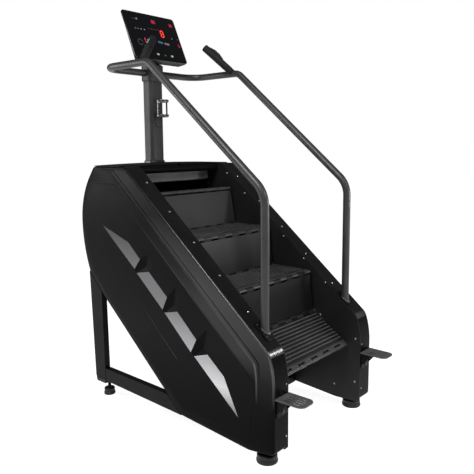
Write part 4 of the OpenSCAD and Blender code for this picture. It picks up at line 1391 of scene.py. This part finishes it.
def make_tread(k):
    """A ribbed tread: its plate, the ribs' tops in a lighter grey that paints the light on them,
    the nosing, the end plates and a pin.
    """
    matrix = plate_matrix(hinge(k), nosing(k))
    body = Shape().prism(tread_section(), *across(3))
    knuckles(body, 0, 0, PLATE_START - 1.5, 7.6, HINGE_R)
    body.placed(matrix).make("tread_top_%d" % k, TREAD, TREAD_BODY[k], 28.0, TREAD_NODE[k])
    tops = Shape()
    for i in range(RIBS):
        base = rib_start(i)
        tops.prism([(base + 1.0, -RIB_TOP_H + 0.2), (base + 7.6, -RIB_TOP_H + 0.2),
                    (base + 7.2, -RIB_TOP_H - 0.3), (base + 1.4, -RIB_TOP_H - 0.3)],
                   *across(4))
    tops.placed(matrix).make("tread_ribs_%d" % k, RIB_TOP_PAINTED_LIGHT, TREAD_BODY[k], smooth=20.0)
    start = TREAD_DEPTH - 24.3
    last = TREAD_DEPTH - 11
    front = Shape().prism([(start, 4), (last - 4, 4), (last - 3, 3), (last - 3, -8),
                           (last - 4, -9.2), (start + 1, -9.2), (start, -8.4)], *across(3))
    knuckles(front, TREAD_DEPTH, 0, -15, 9.0, NOSE_R - 1.5)
    if (k - 1) % STEPS not in CLOSED:
        knuckles(front, TREAD_DEPTH, 1, -6.5, 6.0, NOSE_R)
    front.placed(matrix).make("tread_nose_%d" % k, NOSE_PAINTED_LIGHT, TREAD_BODY[k], smooth=28.0)
    ends = Shape()
    rim = [(PLATE_START, -8), (PLATE_START, 4), (last, 4), (last, -8), (last - 3, -11),
           (PLATE_START + 3, -11)]
    for x in (-TREAD_W / 2, TREAD_W / 2 - END_T):
        ends.prism(rim, x, x + END_T)
    bevel(ends.placed(matrix).make("tread_ends_%d" % k, TREAD, TREAD_BODY[k]), 0.8)
    pin = Shape().turned((-TREAD_W / 2 + 4, TREAD_DEPTH, 0), [
        (0, 3.6), (1, 4.5), (TREAD_W - 9, 4.5), (TREAD_W - 8, 3.6)], 20, (1, 0, 0))
    pin.placed(matrix).make("nosing_pin_%d" % k, BLACK_BOLT, TREAD_BODY[k], smooth=30.0)


def make_riser(k):
    """A flat leaf, stepped along its edges on the side toward the user."""
    first = PLATE_START - 2.5
    end = RISER_DEPTH - 13.5
    matrix = plate_matrix(hinge(k), nosing(k + 1))
    outline = [(first, 3.4), (first + 0.8, 4), (end - 0.8, 4), (end, 3.4),
               (end, -3.4), (end - 0.8, -4), (end - 7, -4), (end - 8, -3.2),
               (first + 8, -3.2), (first + 7, -4), (first + 0.8, -4), (first, -3.4)]
    body = Shape().prism(outline, *across(0))
    knuckles(body, 0, 1, PLATE_START - 1.5, 3.9, HINGE_R)
    if k in CLOSED:
        knuckles(body, RISER_DEPTH, 1, -14.5, 3.9, NOSE_R)
    body.placed(matrix).make("riser_plate_%d" % k, RISER_PAINTED_LIGHT, RISER_BODY[k], 28.0, RISER_NODE[k])


for number in range(STEPS):
    make_tread(number)
    make_riser(number)

# --- Studio ---

FLOOR_GLOW = 0.93
ROOM_GLOW = 0.10
SUN_POWER = 0.7
SUN_SPREAD = radians(50)
SUN_TOWARD = (0.45, 0.35, -0.9)


def make_room():
    """A pale floor without an edge, and a room that is white to the eye and dim as a light."""
    bpy.ops.mesh.primitive_plane_add(size=60.0, location=(0, 0, -0.0005))
    floor = bpy.context.object
    floor.name = "floor"
    pale = Finish("floor_pale")
    pale.look({"Base Color": pale.ramp(pale.noise(0.6), [(0.3, level(0.34)),
                                                         (0.7, level(0.36))]),
               "Emission Color": (1.0, 1.0, 1.0, 1.0), "Emission Strength": FLOOR_GLOW,
               "Roughness": 0.9, "Specular IOR Level": 0.0})
    floor.data.materials.append(pale.material)
    world = bpy.data.worlds.new("studio")
    bpy.context.scene.world = world
    world.use_nodes = True
    room = Nodes(world.node_tree)
    seen = room.node("LightPath", {}, "Is Camera Ray")
    room.feed(room.tree.nodes["Background"], {"Color": (1.0, 1.0, 1.0, 1.0),
                                              "Strength": room.span(seen, ROOM_GLOW, 1.0)})


def add_light(data, toward):
    """Puts a light in the scene, turned toward a direction."""
    light = bpy.data.objects.new(data.name, data)
    light.rotation_euler = Vector(toward).to_track_quat("-Z", "Y").to_euler()
    bpy.context.scene.collection.objects.link(light)
    return light


def soft_light(name, place, target, width, height, power):
    """A large lamp of its own width and height, in metres, that the camera does not see."""
    data = bpy.data.lights.new(name, "AREA")
    data.shape = "RECTANGLE"
    data.size = width
    data.size_y = height
    data.energy = power
    light = add_light(data, Vector(target) - Vector(place))
    light.location = place
    light.visible_camera = False


make_room()
sky = bpy.data.lights.new("ceiling", "SUN")
sky.energy = SUN_POWER
sky.angle = SUN_SPREAD
add_light(sky, SUN_TOWARD)
soft_light("edge", (-2.2, -0.6, 3.4), (-0.4, -0.1, 0.85), 1.0, 1.0, 90)
soft_light("crease", (1.0, -1.54, 1.13), (-0.35, -0.54, 0.5), 0.30, 0.18, 14)
soft_light("left", (-2.6, 3.4, 1.7), (0, 0.56, 1.4), 0.6, 2.0, 60)
soft_light("front", (0.3, -3.2, 3.0), (0.0, 0.0, 0.9), 1.0, 1.0, 40)

bpy.context.scene.view_settings.view_transform = "Standard"
bpy.context.scene.view_settings.look = "None"
